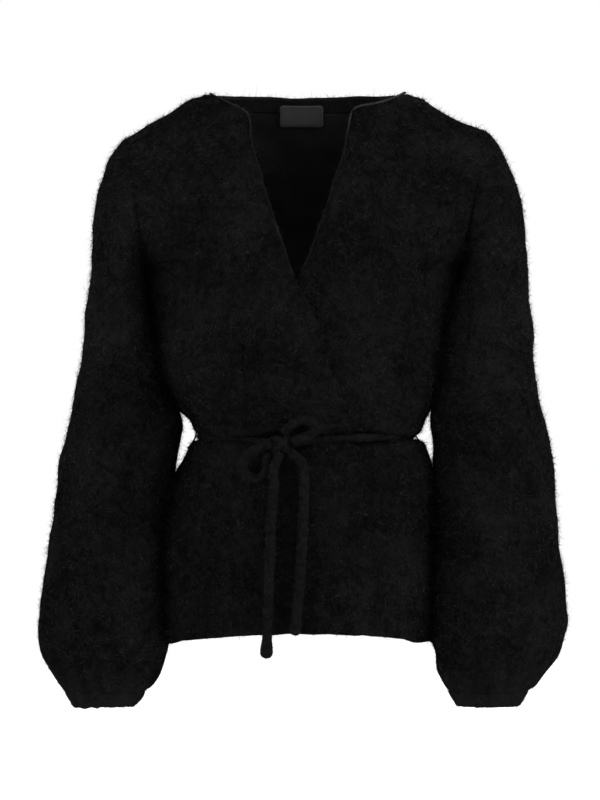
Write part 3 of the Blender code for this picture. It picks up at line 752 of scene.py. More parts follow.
@dataclass(frozen=True)
class Crease:
    """A soft trough, or a ridge where its depth is below 0, along a line in the front view.

    Args:
        start: X and Z of one end, in millimetres.
        end: X and Z of the other end.
        width: half its width, in millimetres.
        depth: how deep it is, in millimetres.
    """

    start: tuple[float, float]
    end: tuple[float, float]
    width: float
    depth: float

    def at(self, points: np.ndarray) -> np.ndarray:
        """How far in each point goes.

        Args:
            points: the points, one row each.

        Returns:
            A depth in metres for each.
        """
        x, z = points[:, 0] / MM, points[:, 2] / MM
        run = np.array(self.end) - np.array(self.start)
        along = ((x - self.start[0]) * run[0] + (z - self.start[1]) * run[1]) / (run @ run)
        near = np.clip(along, 0, 1)
        away = np.hypot(x - self.start[0] - near * run[0], z - self.start[1] - near * run[1])
        return self.depth * MM * np.exp(-((away / self.width) ** 2))


# Cloth.

FRONT_CREASES = (
    Crease((-128, -336), (-74, -351), 5, 1.6),
    Crease((-70, -343), (-44, -352), 4, 1.4),
    Crease((60, -340), (108, -350), 5, 1.6),
    Crease((-135, -392), (-128, -450), 7, 1.5),
    Crease((-86, -388), (-80, -470), 6, 1.4),
    Crease((-50, -388), (-52, -430), 6, 1.6),
    Crease((34, -388), (42, -440), 6, 1.4),
    Crease((64, -386), (62, -440), 6, 1.5),
    Crease((108, -388), (112, -460), 7, 1.5),
    Crease((-140, -300), (-100, -322), 8, 1.4),
    Crease((96, -296), (126, -316), 8, 1.4),
)
BACK_CREASES = (
    Crease((-110, -338), (-52, -350), 5, 1.6),
    Crease((10, -344), (66, -350), 5, 1.6),
    Crease((-130, -390), (-134, -470), 7, 1.6),
    Crease((-70, -388), (-74, -460), 7, 1.5),
    Crease((-6, -388), (-4, -470), 7, 1.6),
    Crease((60, -388), (64, -460), 7, 1.5),
    Crease((118, -388), (120, -470), 7, 1.5),
    Crease((-60, -60), (-20, -120), 14, 1.6),
    Crease((62, -60), (22, -120), 14, 1.6),
)
UNDULATION = (Ripple(0.085, 0.0010, 3), Ripple(0.034, 0.0006, 4))


@dataclass(frozen=True)
class Puff:
    """How the cloth swells above and below the belt and half hides it.

    Args:
        height: the belt's height.
        apart: how far above and below it the swells are.
        width: half the width of a swell.
        upper: how far the upper one stands out.
        lower: how far the lower one does.
        closing: how far they close on the belt.
        uneven: how they vary round the waist.
        side_calm: how much weaker they are at the sides.
        side_width: how far in Y the sides reach.
        knot_calm: how much weaker they are behind the knot.
        knot_width: half the width of that stretch.
        bare: how much weaker they are where the belt lies bare.
        bare_middle: X of the middle of that stretch.
        bare_width: half its width.
    """

    height: float = -0.366
    apart: float = 0.0100
    width: float = 0.0062
    upper: float = 0.0066
    lower: float = 0.0040
    closing: float = 0.0046
    uneven: Ripple = Ripple(0.05, 0.25, 12)
    side_calm: float = 0.9
    side_width: float = 0.034
    knot_calm: float = 0.7
    knot_width: float = 0.020
    bare: float = 0.62
    bare_middle: float = 0.056
    bare_width: float = 0.046

    def at(self, points: np.ndarray) -> np.ndarray:
        """How far out each point goes.

        Args:
            points: the points, one row each.

        Returns:
            A distance for each.
        """
        up = points[:, 2] - self.height
        swell = self.upper * bell(up, self.apart, self.width)
        swell += self.lower * bell(up, -self.apart, self.width)
        off_side = 1 - self.side_calm * bell(points[:, 1], 0.0, self.side_width)
        return swell * (1 + self.uneven.at(points)) * self.away_from_knot(points) * off_side

    def away_from_knot(self, points: np.ndarray) -> np.ndarray:
        """How strong the swells are in front.

        Args:
            points: the points, one row each.

        Returns:
            1 round the waist, less where the belt lies bare on the wearer's left and behind the knot.
        """
        behind_knot = self.knot_calm * bell(points[:, 0], KNOT[0], self.knot_width)
        bare_belt = self.bare * bell(points[:, 0], self.bare_middle, self.bare_width, 4)
        return 1 - np.maximum(behind_knot, bare_belt) * (points[:, 1] < 0)

    def towards_belt(self, points: np.ndarray) -> np.ndarray:
        """How far each point rises or sinks to close on the belt.

        Args:
            points: the points, one row each.

        Returns:
            A rise for each.
        """
        up = points[:, 2] - self.height
        near = bell(np.abs(up), self.apart, self.width)
        return -np.sign(up) * self.closing * near * self.away_from_knot(points)


@dataclass(frozen=True)
class Nestle:
    """How the body's sides and the sleeves swell towards each other, so that no light passes between them.

    Args:
        body: how far the body's sides go out.
        low_left: how much further the wearer's left side does below the waist.
        sleeve: how far the sleeves' inner sides go in.
        gap_tops: where the waist's gap begins on the wearer's right and left.
        gap_ends: where it ends.
        armpit: where the sleeves leave the body.
        low: where the left side starts to go further out.
        hem: the sleeves' lowest meeting point with the body.
        fade: over how much height the gap closes.
        long_fade: over how much the armpit and the left side do.
        side_width: how far in Y the body's sides reach.
        facing: how far towards the body a sleeve's point looks at the edge and the end of its inner side.
    """

    body: float = 0.0030
    low_left: float = 0.0016
    sleeve: float = 0.0034
    gap_tops: tuple[float, float] = (-0.352, -0.350)
    gap_ends: tuple[float, float] = (-0.406, -0.380)
    armpit: float = -0.175
    low: float = -0.42
    hem: float = -0.605
    fade: float = 0.02
    long_fade: float = 0.03
    side_width: float = 0.03
    facing: tuple[float, float] = (0.3, 0.9)

    def reach(self, points: np.ndarray) -> np.ndarray:
        """Where sleeve and body meet.

        Args:
            points: the points, one row each.

        Returns:
            1 at the heights where they do, 0 at the waist's gap, the shoulders and the hem.
        """
        z = points[:, 2]
        both = (self.gap_tops, self.gap_ends)
        gap_top, gap_end = (np.where(points[:, 0] > 0, pair[1], pair[0]) for pair in both)
        above = ease((self.armpit - z) / self.long_fade) * ease((z - gap_top) / self.fade)
        below = ease((gap_end - z) / self.fade) * ease((z - self.hem) / self.fade)
        return above + below

    def of_body(self, points: np.ndarray) -> np.ndarray:
        """How far out each point of the body goes.

        Args:
            points: the points, one row each.

        Returns:
            A distance for each.
        """
        low = (points[:, 0] > 0) * ease((self.low - points[:, 2]) / self.long_fade)
        at_side = bell(points[:, 1], 0.0, self.side_width)
        return (self.body + self.low_left * low) * self.reach(points) * at_side

    def of_sleeve(self, points: np.ndarray, away: np.ndarray) -> np.ndarray:
        """How far out each point of a sleeve goes.

        Args:
            points: the points, one row each.
            away: the way out of the sleeve at each.

        Returns:
            A distance for each.
        """
        edge, end = self.facing
        inner = ease((-away[:, 0] * np.sign(points[:, 0]) - edge) / (end - edge))
        return self.sleeve * self.reach(points) * inner


@dataclass(frozen=True)
class Waist:
    """How the sides are drawn in at the belt.

    Args:
        height: where they are narrowest.
        depth: how far the wearer's right side goes in there.
        left_depth: how far the left one does.
        reach: how far above and below that it is felt.
        inner: how far from the middle plane the sides begin.
        fade: over how much width they do.
    """

    height: float = -0.363
    depth: float = 0.0048
    left_depth: float = 0.0046
    reach: float = 0.020
    inner: float = 0.085
    fade: float = 0.035

    def draw_in(self, points: np.ndarray) -> np.ndarray:
        """Draws the two sides in.

        Args:
            points: the points, one row each.

        Returns:
            The same points, with those at the sides nearer to the middle.
        """
        near = bell(points[:, 2], self.height, self.reach)
        side = ease((np.abs(points[:, 0]) - self.inner) / self.fade)
        moved = points.copy()
        moved[:, 0] -= np.where(points[:, 0] > 0, self.left_depth, -self.depth) * near * side
        return moved


@dataclass(frozen=True)
class NeckLine:
    """How the soft edges of the V lie back from its middle, in millimetres.

    Args:
        heights: the heights of the other rows, from the top down.
        edges: X of the wearer's right and left edge at the first and the last height.
        right: how far the wearer's right edge lies back.
        left: how far the wearer's left edge does.
        width: how far from an edge the cloth still moves with it.
        front_end: Y where the front ends, in metres.
        front_fade: over how much depth it does.
    """

    heights: tuple[float, ...] = (-18, -39, -57, -75, -96, -117, -144, -170, -197, -235)
    edges: tuple[tuple[float, float], tuple[float, float]] = ((-66.0, 2.5), (46.7, -29.4))
    right: tuple[float, ...] = (3.2, 2.0, 4.5, 5.5, 7.0, 8.5, 7.5, 5.8, 4.4, 0.0)
    left: tuple[float, ...] = (7.4, 5.5, 7.5, 8.0, 9.0, 11.5, 11.4, 11.0, 7.0, 0.0)
    width: float = 40.0
    front_end: float = 0.02
    front_fade: float = 0.05

    def near_edge(self, points: np.ndarray, wearer_left: bool, width: float) -> np.ndarray:
        """How near each point is to an edge of the V.

        Args:
            points: the points, one row each.
            wearer_left: which edge.
            width: how far from the edge still counts, in millimetres.

        Returns:
            1 at the edge and 0 well away from it.
        """
        ends = self.edges[wearer_left]
        edge = np.interp(points[:, 2] / MM, (self.heights[-1], self.heights[0]), ends[::-1])
        in_front = ease((self.front_end - points[:, 1]) / self.front_fade)
        return bell(points[:, 0] / MM, edge, width) * in_front

    def lay_back(self, points: np.ndarray, wearer_left: bool) -> np.ndarray:
        """Lays one edge of the V back.

        Args:
            points: the points, one row each.
            wearer_left: which edge.

        Returns:
            The same points, with those near the edge further from the V's middle.
        """
        back = self.left if wearer_left else self.right
        far = np.interp(-points[:, 2] / MM, [-height for height in self.heights], back)
        moved = points.copy()
        outwards = 1 if wearer_left else -1
        moved[:, 0] += outwards * far * MM * self.near_edge(points, wearer_left, self.width)
        return moved


@dataclass(frozen=True)
class Gathers:
    """The small pleats that draw a sleeve in above its cuff.

    Args:
        top: where they start.
        cuff: the cuff's seam.
        count: pleats round the sleeve.
        height: how far they stand out.
        growth: over how much height they grow to that.
        seam: how much of them is left at the cuff.
        seam_height: over how much height they sink there.
        wander: waves round the sleeve that shift the pleats, each a count, a size and a phase.
        starts: waves that raise and lower their starts.
        sizes: the mean size of a pleat, and the wave that changes it.
    """

    top: float = -0.565
    cuff: float = -0.6385
    count: int = 17
    height: float = 0.0038
    growth: float = 0.075
    seam: float = 0.3
    seam_height: float = 0.006
    wander: tuple[Point, ...] = ((2, 1.3, 0.6), (5, 0.9, 2.0))
    starts: tuple[Point, ...] = ((4, 0.016, 0.8), (9, 0.008, 0.0))
    sizes: tuple[float, Point] = (0.65, (3, 0.45, 1.0))

    @staticmethod
    def waves(turn: np.ndarray, rows: tuple[Point, ...]) -> np.ndarray:
        """The sum of some waves round the sleeve."""
        return sum(size * np.sin(count * turn + phase) for count, size, phase in rows)

    def at(self, points: np.ndarray, away: np.ndarray) -> np.ndarray:
        """How far out each point goes.

        Args:
            points: the points, one row each.
            away: the way out of the sleeve at each.

        Returns:
            A distance for each.
        """
        turn = np.arctan2(away[:, 1], away[:, 0])
        start = self.top + self.waves(turn, self.starts)
        grown = ease((start - points[:, 2]) / self.growth)
        free = self.seam + (1 - self.seam) * ease((points[:, 2] - self.cuff) / self.seam_height)
        mean, change = self.sizes
        pleat = np.cos(self.count * turn + self.waves(turn, self.wander))
        return self.height * (mean + self.waves(turn, (change,))) * grown * free * pleat


@dataclass(frozen=True)
class Lift:
    """How the cloth rises near one place, or sinks where its rise is below 0.

    Args:
        x: where it is.
        width: half its width.
        start: the height where it begins.
        over: over how much height it grows.
        rise: how far it goes.
    """

    x: float
    width: float
    start: float
    over: float
    rise: float

    def at(self, x: np.ndarray, z: np.ndarray) -> np.ndarray:
        """How far up each point goes."""
        return self.rise * bell(x, self.x, self.width) * ease((z - self.start) / self.over)


BAND_CORNER = Lift(x=0.047, width=0.011, start=-0.036, over=0.014, rise=0.0035)
BAND_PEAKS = Lift(x=0.109, width=0.009, start=-0.008, over=0.012, rise=-0.0030)


@dataclass(frozen=True)
class CuffRim:
    """How the lower rim of a cuff turns up.

    Args:
        start: the height where it begins.
        over: over how much height it grows.
        rise: how far the rim goes up.
    """

    start: float = -0.642
    over: float = 0.014
    rise: float = 0.0032

    def at(self, z: np.ndarray) -> np.ndarray:
        """How far up each point goes."""
        return self.rise * ease((self.start - z) / self.over)


@dataclass(frozen=True)
class PaintedLight:
    """Where light is painted on the cloth: a highlight on the turned edges, fill light inside the neck, and
    lighter sleeve ends. A facing is 1 on the outside, 0 on an edge and -1 on the inside.

    Args:
        rim: the facing that still counts as an edge.
        band_up: how far up the neckband's edge looks where its painted highlight begins and is full.
        band_inside: the painted fill light on the neckband's inner side.
        band_inner: the facing where that side begins.
        back_inside: the painted fill light on the back's inner side, which shows in the neck.
        back_inner: the facing where it begins and is full, with the sign turned.
        back_low: the height where it begins.
        back_over: over how much height it grows.
        cuff: how much lighter the sleeves' ends and the cuffs are coloured.
        cuff_top: the height where it begins.
        cuff_over: over how much height it grows.
        v_width: the width of the V's edge with the painted highlight, in millimetres.
        v_low: the height where it begins.
        v_over: over how much height it grows.
    """

    rim: float = 0.55
    band_up: tuple[float, float] = (0.2, 0.5)
    band_inside: float = 0.3
    band_inner: float = -0.6
    back_inside: float = 0.62
    back_inner: tuple[float, float] = (0.1, 0.5)
    back_low: float = -0.26
    back_over: float = 0.03
    cuff: float = 0.36
    cuff_top: float = -0.600
    cuff_over: float = 0.06
    v_width: float = 14.0
    v_low: float = -0.20
    v_over: float = 0.02


@dataclass(frozen=True)
class PileSpread:
    """How much pile stands where. A facing is 1 on the outside, 0 on an edge and -1 on the inside.

    Args:
        outside: the facing where the pile begins and is full.
        inside: the pile inside the neck.
        neck_low: the lowest height there that shows.
        neck_half: how far from the middle plane it shows.
        under: how much less stands under the other front.
        lap: how far in front of a point the other front may lie.
        edge: how much more stands on an edge.
        rim: the facing that still counts as an edge.
        thinned_at_painted_light: how much less stands where light is painted on the cloth.
    """

    outside: tuple[float, float] = (-0.9, -0.1)
    inside: float = 0.4
    neck_low: float = -0.24
    neck_half: float = 0.105
    under: float = 0.9
    lap: float = 0.03
    edge: float = 1.3
    rim: float = 0.45
    thinned_at_painted_light: float = 0.8


PAINTED_LIGHT = PaintedLight()
PILE_SPREAD = PileSpread()


@dataclass
class Cloth:
    """One piece of the cut: it stands for a CAD node, and its pile grows on it.

    Args:
        node: the CAD node that it replaces.
        flat: width and length of the piece as cut; not used.
        held: how it hangs; not used.
        rests_on: what carries it; not used.
        creases: its finer folds.
        around: True where it is a tube.
        levels: how often its faces are split.
        corner_hold: how far the wall's corners are held out, from 0 to 1.
        shoulders: the height above which a body piece also looks up.
        tube_rise: how much a tube's points look along it.
        slices: how many slices a tube's middle line is read from.
        wall_turn: how fast a point's facing goes from an edge to a side.
        band_calm: how much of the undulation the neckband has.
        take_up: the flat area in parts of the area with its creases; not used.
        obj: the piece, once it is built.
    """

    node: str
    flat: tuple[float, float]
    held: Held
    rests_on: tuple[str, ...] = ()
    creases: tuple[Crease, ...] = ()
    around: bool = False
    levels: int = 2
    corner_hold: float = 0.85
    shoulders: float = -0.2
    tube_rise: float = 0.4
    slices: int = 25
    wall_turn: float = 2.5
    band_calm: float = 0.3
    take_up: float = 0.97
    obj: bpy.types.Object | None = field(default=None, init=False)

    @property
    def wearer_left(self) -> bool:
        """True for a piece on the wearer's left."""
        return self.node.endswith("_left")

    @property
    def is_band(self) -> bool:
        """True for the neckband."""
        return self.node == "neckband"

    def outward(self, points: np.ndarray) -> np.ndarray:
        """The way out of the piece at each of its points.

        Args:
            points: the points, one row each.

        Returns:
            A unit vector for each.
        """
        if self.around:
            return unit((points - self.centre_line(points)) * (1, 1, self.tube_rise))
        lift = np.maximum(points[:, 2] - self.shoulders, 0)
        return unit(np.stack([points[:, 0], points[:, 1], lift], axis=-1))

    def centre_line(self, points: np.ndarray) -> np.ndarray:
        """The middle of the tube at each point's height.

        Args:
            points: the points, one row each.

        Returns:
            A point on the middle line for each.
        """
        height = points[:, 2]
        edges = np.linspace(height.min(), height.max(), self.slices + 1)
        slice_of = np.clip(np.digitize(height, edges) - 1, 0, self.slices - 1)
        full = [k for k in range(self.slices) if (slice_of == k).any()]
        middles = np.array([points[slice_of == k].mean(0) for k in full])
        where = (edges[:-1] + edges[1:])[full] / 2
        x, y = (np.interp(height, where, middles[:, axis]) for axis in (0, 1))
        return np.stack([x, y, height], axis=-1)

    def build(self, finish: bpy.types.Material) -> bpy.types.Object:
        """Makes the smooth cloth with its creases.

        Args:
            finish: its material.

        Returns:
            The piece.
        """
        coarse, corner = quads_of_node(self.node)
        holder = link(f"{self.node}_coarse", coarse)
        fine = smooth_through(holder, corner, self.levels, self.corner_hold)
        bpy.data.objects.remove(holder)
        points, normals = points_of(fine), normals_of(fine)
        away = self.outward(points)
        facing = np.clip((normals * away).sum(-1) * self.wall_turn, -1, 1)
        calm = self.band_calm if self.is_band else 1.0
        move = calm * sum(r.at(points) for r in UNDULATION) - sum((c.at(points) for c in self.creases), 0.0)
        if self.around:
            move += Nestle().of_sleeve(points, away) + Gathers().at(points, away)
        elif not self.is_band:
            move += Nestle().of_body(points) + Puff().at(points)
            points[:, 2] += Puff().towards_belt(points)
        # Where light is painted: a highlight on the turned edges and fill light inside the neck.
        painted_light = self.painted_light(points, normals, facing)
        share = self.pile_share(points, facing, painted_light)
        points = self.settle(points + normals * (facing * move)[:, None])
        move_points(fine, points)
        self.write_uv(fine, points)
        for name, values in (("pile_share", share), ("painted_light", painted_light)):
            layer = fine.attributes.new(name, "FLOAT", "POINT")
            layer.data.foreach_set("value", values.astype(np.float32))
        fine.materials.clear()
        fine.materials.append(finish)
        fine.shade_smooth()
        self.obj = link(f"{self.node}_cloth", fine)
        return self.obj

    def write_uv(self, mesh: bpy.types.Mesh, points: np.ndarray) -> None:
        """Lays the knit's rows on the mesh: metres round the body or sleeve, and metres up.

        Args:
            mesh: the piece's mesh.
            points: its points, one row each.
        """
        centre = self.centre_line(points) if self.around else np.zeros_like(points)
        away = points - centre
        radius = np.hypot(away[:, 0], away[:, 1]).mean()
        turn = np.arctan2(away[:, 0], -away[:, 1] if self.node != "back" else away[:, 1])
        corners = whole_numbers(mesh.loops, "vertex_index")
        starts = whole_numbers(mesh.polygons, "loop_start")
        first = turn[corners[np.repeat(starts, whole_numbers(mesh.polygons, "loop_total"))]]
        own = turn[corners]
        own = own - 2 * math.pi * np.round((own - first) / (2 * math.pi))
        layer = mesh.uv_layers.new(name="knit")
        values = np.stack([own * radius, points[corners, 2]], axis=-1)
        layer.data.foreach_set("uv", values.astype(np.float32).ravel())

    def settle(self, points: np.ndarray) -> np.ndarray:
        """Draws a body piece in at the waist and lays it back at the V, or turns a cuff's rim up.

        Args:
            points: the points, one row each.

        Returns:
            The moved points.
        """
        if self.node.startswith("cuff"):
            points[:, 2] += CuffRim().at(points[:, 2])
        if self.around:
            return points
        points = Waist().draw_in(points)
        if self.node == "back":
            return points
        if not self.is_band:
            return NeckLine().lay_back(points, self.wearer_left)
        x, y, z = points.T
        points[:, 2] += BAND_CORNER.at(x, z) * (y < 0) + BAND_PEAKS.at(np.abs(x), z)
        left, right = (NeckLine().lay_back(points, side) for side in (True, False))
        return np.where((points[:, 0] > 0)[:, None], left, right)

    def painted_light(self, points: np.ndarray, normals: np.ndarray, facing: np.ndarray) -> np.ndarray:
        """Where light is painted on the cloth: a highlight on the turned edges of the V and neckband, weaker
        painted light inside the neck, and lighter sleeve ends.

        Args:
            points: the points, one row each.
            normals: the normal at each.
            facing: 1 for each on the outside, 0 on an edge, -1 on the inside.

        Returns:
            The painted light at each, from 0 to 1.
        """
        z = points[:, 2]
        # The turned edges, where the facing is near 0, get a painted highlight.
        rim = bell(facing, 0.0, PAINTED_LIGHT.rim)
        if self.is_band:
            # On the neckband: a painted highlight on the edge where it looks up, and painted fill light on
            # its inner side.
            return rim * ramp(normals[:, 2], *PAINTED_LIGHT.band_up) + PAINTED_LIGHT.band_inside * (facing < PAINTED_LIGHT.band_inner)
        if self.node == "back":
            in_neck = ease((z - PAINTED_LIGHT.back_low) / PAINTED_LIGHT.back_over)
            # Painted fill light on the back's inner side in the neck.
            return PAINTED_LIGHT.back_inside * ramp(-facing, *PAINTED_LIGHT.back_inner) * in_neck
        if self.around:
            # The sleeves' ends and the cuffs are coloured lighter.
            return PAINTED_LIGHT.cuff * ease((PAINTED_LIGHT.cuff_top - z) / PAINTED_LIGHT.cuff_over)
        at_edge = NeckLine().near_edge(points, self.wearer_left, PAINTED_LIGHT.v_width)
        # A painted highlight on the V's turned edge.
        return rim * at_edge * ease((z - PAINTED_LIGHT.v_low) / PAINTED_LIGHT.v_over)

    def pile_share(self, points: np.ndarray, facing: np.ndarray, painted_light: np.ndarray) -> np.ndarray:
        """How much pile stands at each point: all of it outside, little inside, but for the neck.

        Args:
            points: the points, one row each.
            facing: 1 for each on the outside, 0 on an edge, -1 on the inside.
            painted_light: the painted light at each.

        Returns:
            The pile at each, in parts of a full one.
        """
        share = ramp(facing, *PILE_SPREAD.outside)
        if self.node in ("back", "neckband"):
            in_neck = (points[:, 2] > PILE_SPREAD.neck_low) * (np.abs(points[:, 0]) < PILE_SPREAD.neck_half)
            share = np.maximum(share, PILE_SPREAD.inside * in_neck)
        if self.node == "front_left":
            share *= 1 - PILE_SPREAD.under * self.covered(points)
        rim = bell(facing, 0.0, PILE_SPREAD.rim)
        # Less pile stands where light is painted, except on the inner side.
        bare = 0.0 if self.around else PILE_SPREAD.thinned_at_painted_light * painted_light * (facing > PAINTED_LIGHT.band_inner)
        return (share + PILE_SPREAD.edge * rim) * (1 - bare)

    def covered(self, points: np.ndarray) -> np.ndarray:
        """Where the wearer's right front lies over this piece.

        Args:
            points: the points, one row each.

        Returns:
            1 for each point that it covers, and 0 for the others.
        """
        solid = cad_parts["front_right"].data
        corners = [v.co[:] for v in solid.vertices]
        over = BVHTree.FromPolygons(corners, [f.vertices[:] for f in solid.polygons])
        ahead = Vector((0.0, -1.0, 0.0))
        hits = (over.ray_cast(Vector(point), ahead, PILE_SPREAD.lap)[0] for point in points)
        return np.array([hit is not None for hit in hits], float)

    def declare(self, pile: list[bpy.types.Object]) -> None:
        """Hides the CAD node and hangs the piece and its pile on the body.

        Args:
            pile: the pieces that go with it.
        """
        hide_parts(self.node)
        for part in (self.obj, *pile):
            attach(part, BODY)


# Pile.


class GrowingTree:
    """A Geometry Nodes tree that sets small things on a mesh. Each kind has its INPUTS and its own nodes."""

    INPUTS: dict[str, float | int] = {}

    def __init__(self, name: str) -> None:
        """Builds the tree, with whole numbers and a material among its inputs.

        Args:
            name: the tree's name.
        """
        self.tree = bpy.data.node_groups.new(name, "GeometryNodeTree")
        face = self.tree.interface
        face.new_socket(name="Geometry", in_out="INPUT", socket_type="NodeSocketGeometry")
        for label, value in self.INPUTS.items():
            kind = "NodeSocketInt" if isinstance(value, int) else "NodeSocketFloat"
            face.new_socket(name=label, in_out="INPUT", socket_type=kind).default_value = value
        face.new_socket(name="Material", in_out="INPUT", socket_type="NodeSocketMaterial")
        face.new_socket(name="Geometry", in_out="OUTPUT", socket_type="NodeSocketGeometry")
        self.given = self.tree.nodes.new("NodeGroupInput").outputs
        real = self.add("GeometryNodeRealizeInstances", {}, {0: self.spread()})
        finish = self.given["Material"]
        dyed = self.add("GeometryNodeSetMaterial", {}, {0: real.outputs[0], "Material": finish})
        out = self.tree.nodes.new("NodeGroupOutput")
        self.tree.links.new(dyed.outputs[0], out.inputs[0])

    def spread(self) -> bpy.types.NodeSocket:
        """Makes the nodes that set the things, and returns the output that carries them."""
        raise NotImplementedError

    def add(self, kind: str, settings: dict[str, object], sockets: dict[object, object]) -> bpy.types.Node:
        """Adds one node, as Shader.node does.

        Args:
            kind: the node's type.
            settings: its properties, set first.
            sockets: a value or an output socket for each input, by name or number.

        Returns:
            The node.
        """
        node = self.tree.nodes.new(kind)
        for key, value in settings.items():
            setattr(node, key, value)
        for key, value in sockets.items():
            if isinstance(value, bpy.types.NodeSocket):
                self.tree.links.new(value, node.inputs[key])
            else:
                node.inputs[key].default_value = value
        return node

    def applied(self, host: bpy.types.Object, values: dict[str, object]) -> bpy.types.Mesh:
        """Runs the tree on an object, which is left as it was.

        Args:
            host: the object.
            values: a value for each input.

        Returns:
            A plain mesh of what the tree makes.
        """
        modifier = host.modifiers.new("grown", "NODES")
        modifier.node_group = self.tree
        items = self.tree.interface.items_tree
        names = {i.name: i.identifier for i in items if i.item_type == "SOCKET" and i.in_out == "INPUT"}
        for label, value in values.items():
            modifier[names[label]] = value
        made = evaluated_mesh(host)
        host.modifiers.remove(modifier)
        return made


class PileTree(GrowingTree):
    """Grows hairs on a surface.

    BENDS has the bends of its kinds of hair, and the last line the seed of each draw.
    """

    INPUTS = {
        "Density": 1.0,
        "Shortest": 0.003,
        "Longest": 0.01,
        "Length Power": 2.0,
        "Root Radius": 0.0001,
        "Bend": 0.002,
        "Lowest Rise": 0.0,
        "Highest Rise": 0.6,
        "Rise Power": 2.0,
        "Parts": 2,
        "Seed": 1,
    }
    BENDS = (0.2, 1.0, -1.7)
    LOOSE, RISE, SPIN, LENGTH, PICK = 11, 23, 37, 41, 53

    def math(self, operation: str, first: object, second: object = 0.0) -> bpy.types.NodeSocket:
        """The value of one Math node."""
        return self.add("ShaderNodeMath", {"operation": operation}, {0: first, 1: second}).outputs[0]

    def vector(self, operation: str, first: object, second: object) -> bpy.types.Node:
        """One Vector Math node."""
        return self.add("ShaderNodeVectorMath", {"operation": operation}, {0: first, 1: second})

    def scaled(self, vector: object, factor: object) -> bpy.types.NodeSocket:
        """A vector times a number."""
        sockets = {0: vector, "Scale": factor}
        return self.add("ShaderNodeVectorMath", {"operation": "SCALE"}, sockets).outputs[0]

    def chance(self, offset: int) -> bpy.types.NodeSocket:
        """A random number between 0 and 1 for each hair."""
        seed = self.math("ADD", self.given["Seed"], float(offset))
        return self.add("FunctionNodeRandomValue", {"data_type": "FLOAT"}, {"Seed": seed}).outputs[1]

    def range(self, low: str, high: str, power: str, offset: int) -> bpy.types.NodeSocket:
        """A random number between two inputs, nearer the low one for a larger power.

        Args:
            low: the input with the least.
            high: the one with the most.
            power: the one with the power.
            offset: the draw's seed.

        Returns:
            The number for each hair.
        """
        share = self.math("POWER", self.chance(offset), self.given[power])
        spread = self.math("SUBTRACT", self.given[high], self.given[low])
        return self.math("ADD", self.given[low], self.math("MULTIPLY", share, spread))

    def strand(self, bend: float) -> bpy.types.NodeSocket:
        """One hair a unit long: a thin cone, bent to one side.

        Args:
            bend: how far it bends, in parts of the input.

        Returns:
            Its mesh.
        """
        cone = self.add(
            "GeometryNodeMeshCone",
            {"fill_type": "NGON"},
            {
                "Vertices": 3,
                "Side Segments": self.given["Parts"],
                "Radius Top": 0.0,
                "Radius Bottom": self.given["Root Radius"],
                "Depth": 1.0,
            },
        )
        place = self.add("GeometryNodeInputPosition", {}, {}).outputs[0]
        height = self.add("ShaderNodeSeparateXYZ", {}, {0: place}).outputs[2]
        square = self.math("MULTIPLY", height, height)
        lean = self.math("MULTIPLY", square, self.math("MULTIPLY", self.given["Bend"], bend))
        aside = self.add("ShaderNodeCombineXYZ", {}, {0: lean}).outputs[0]
        sockets = {"Geometry": cone.outputs[0], "Offset": aside}
        return self.add("GeometryNodeSetPosition", {}, sockets).outputs[0]

    def spread(self) -> bpy.types.NodeSocket:
        """Spreads the hairs and turns them.

        Returns:
            The output that carries them.
        """
        share = self.add("GeometryNodeInputNamedAttribute", {"data_type": "FLOAT"}, {"Name": "pile_share"})
        density = self.math("MULTIPLY", self.given["Density"], share.outputs[0])
        spread = self.add(
            "GeometryNodeDistributePointsOnFaces",
            {"distribute_method": "RANDOM"},
            {"Mesh": self.given["Geometry"], "Density": density, "Seed": self.given["Seed"]},
        )
        normal = spread.outputs["Normal"]
        seed = self.math("ADD", self.given["Seed"], float(self.LOOSE))
        loose = self.add(
            "FunctionNodeRandomValue",
            {"data_type": "FLOAT_VECTOR"},
            {0: (-1.0, -1.0, -1.0), 1: (1.0, 1.0, 1.0), "Seed": seed},
        ).outputs[0]
        off = self.vector("DOT_PRODUCT", loose, normal).outputs["Value"]
        flat = self.vector("SUBTRACT", loose, self.scaled(normal, off)).outputs[0]
        flat = self.add("ShaderNodeVectorMath", {"operation": "NORMALIZE"}, {0: flat}).outputs[0]
        rise = self.range("Lowest Rise", "Highest Rise", "Rise Power", self.RISE)
        along = self.scaled(flat, self.math("COSINE", rise))
        up = self.scaled(normal, self.math("SINE", rise))
        way = self.vector("ADD", along, up).outputs[0]
        turn = self.add("FunctionNodeAlignRotationToVector", {"axis": "Z"}, {"Vector": way}).outputs[0]
        spin = {"Axis": (0.0, 0.0, 1.0), "Angle": self.math("MULTIPLY", self.chance(self.SPIN), 2 * math.pi)}
        about = self.add("FunctionNodeAxisAngleToRotation", {}, spin).outputs[0]
        local = {"rotation_space": "LOCAL"}
        turn = self.add("FunctionNodeRotateRotation", local, {0: turn, 1: about}).outputs[0]
        length = self.range("Shortest", "Longest", "Length Power", self.LENGTH)
        size = self.add("ShaderNodeCombineXYZ", {}, {0: 1.0, 1: 1.0, 2: length})
        single = self.add("GeometryNodeJoinGeometry", {}, {})
        for bend in self.BENDS:
            one = self.add("GeometryNodeGeometryToInstance", {}, {0: self.strand(bend)})
            self.tree.links.new(one.outputs[0], single.inputs[0])
        which = self.math("FLOOR", self.math("MULTIPLY", self.chance(self.PICK), len(self.BENDS) - 0.001))
        hairs = {
            "Points": spread.outputs["Points"],
            "Instance": single.outputs[0],
            "Pick Instance": True,
            "Instance Index": which,
            "Rotation": turn,
            "Scale": size.outputs[0],
        }
        return self.add("GeometryNodeInstanceOnPoints", {}, hairs).outputs[0]


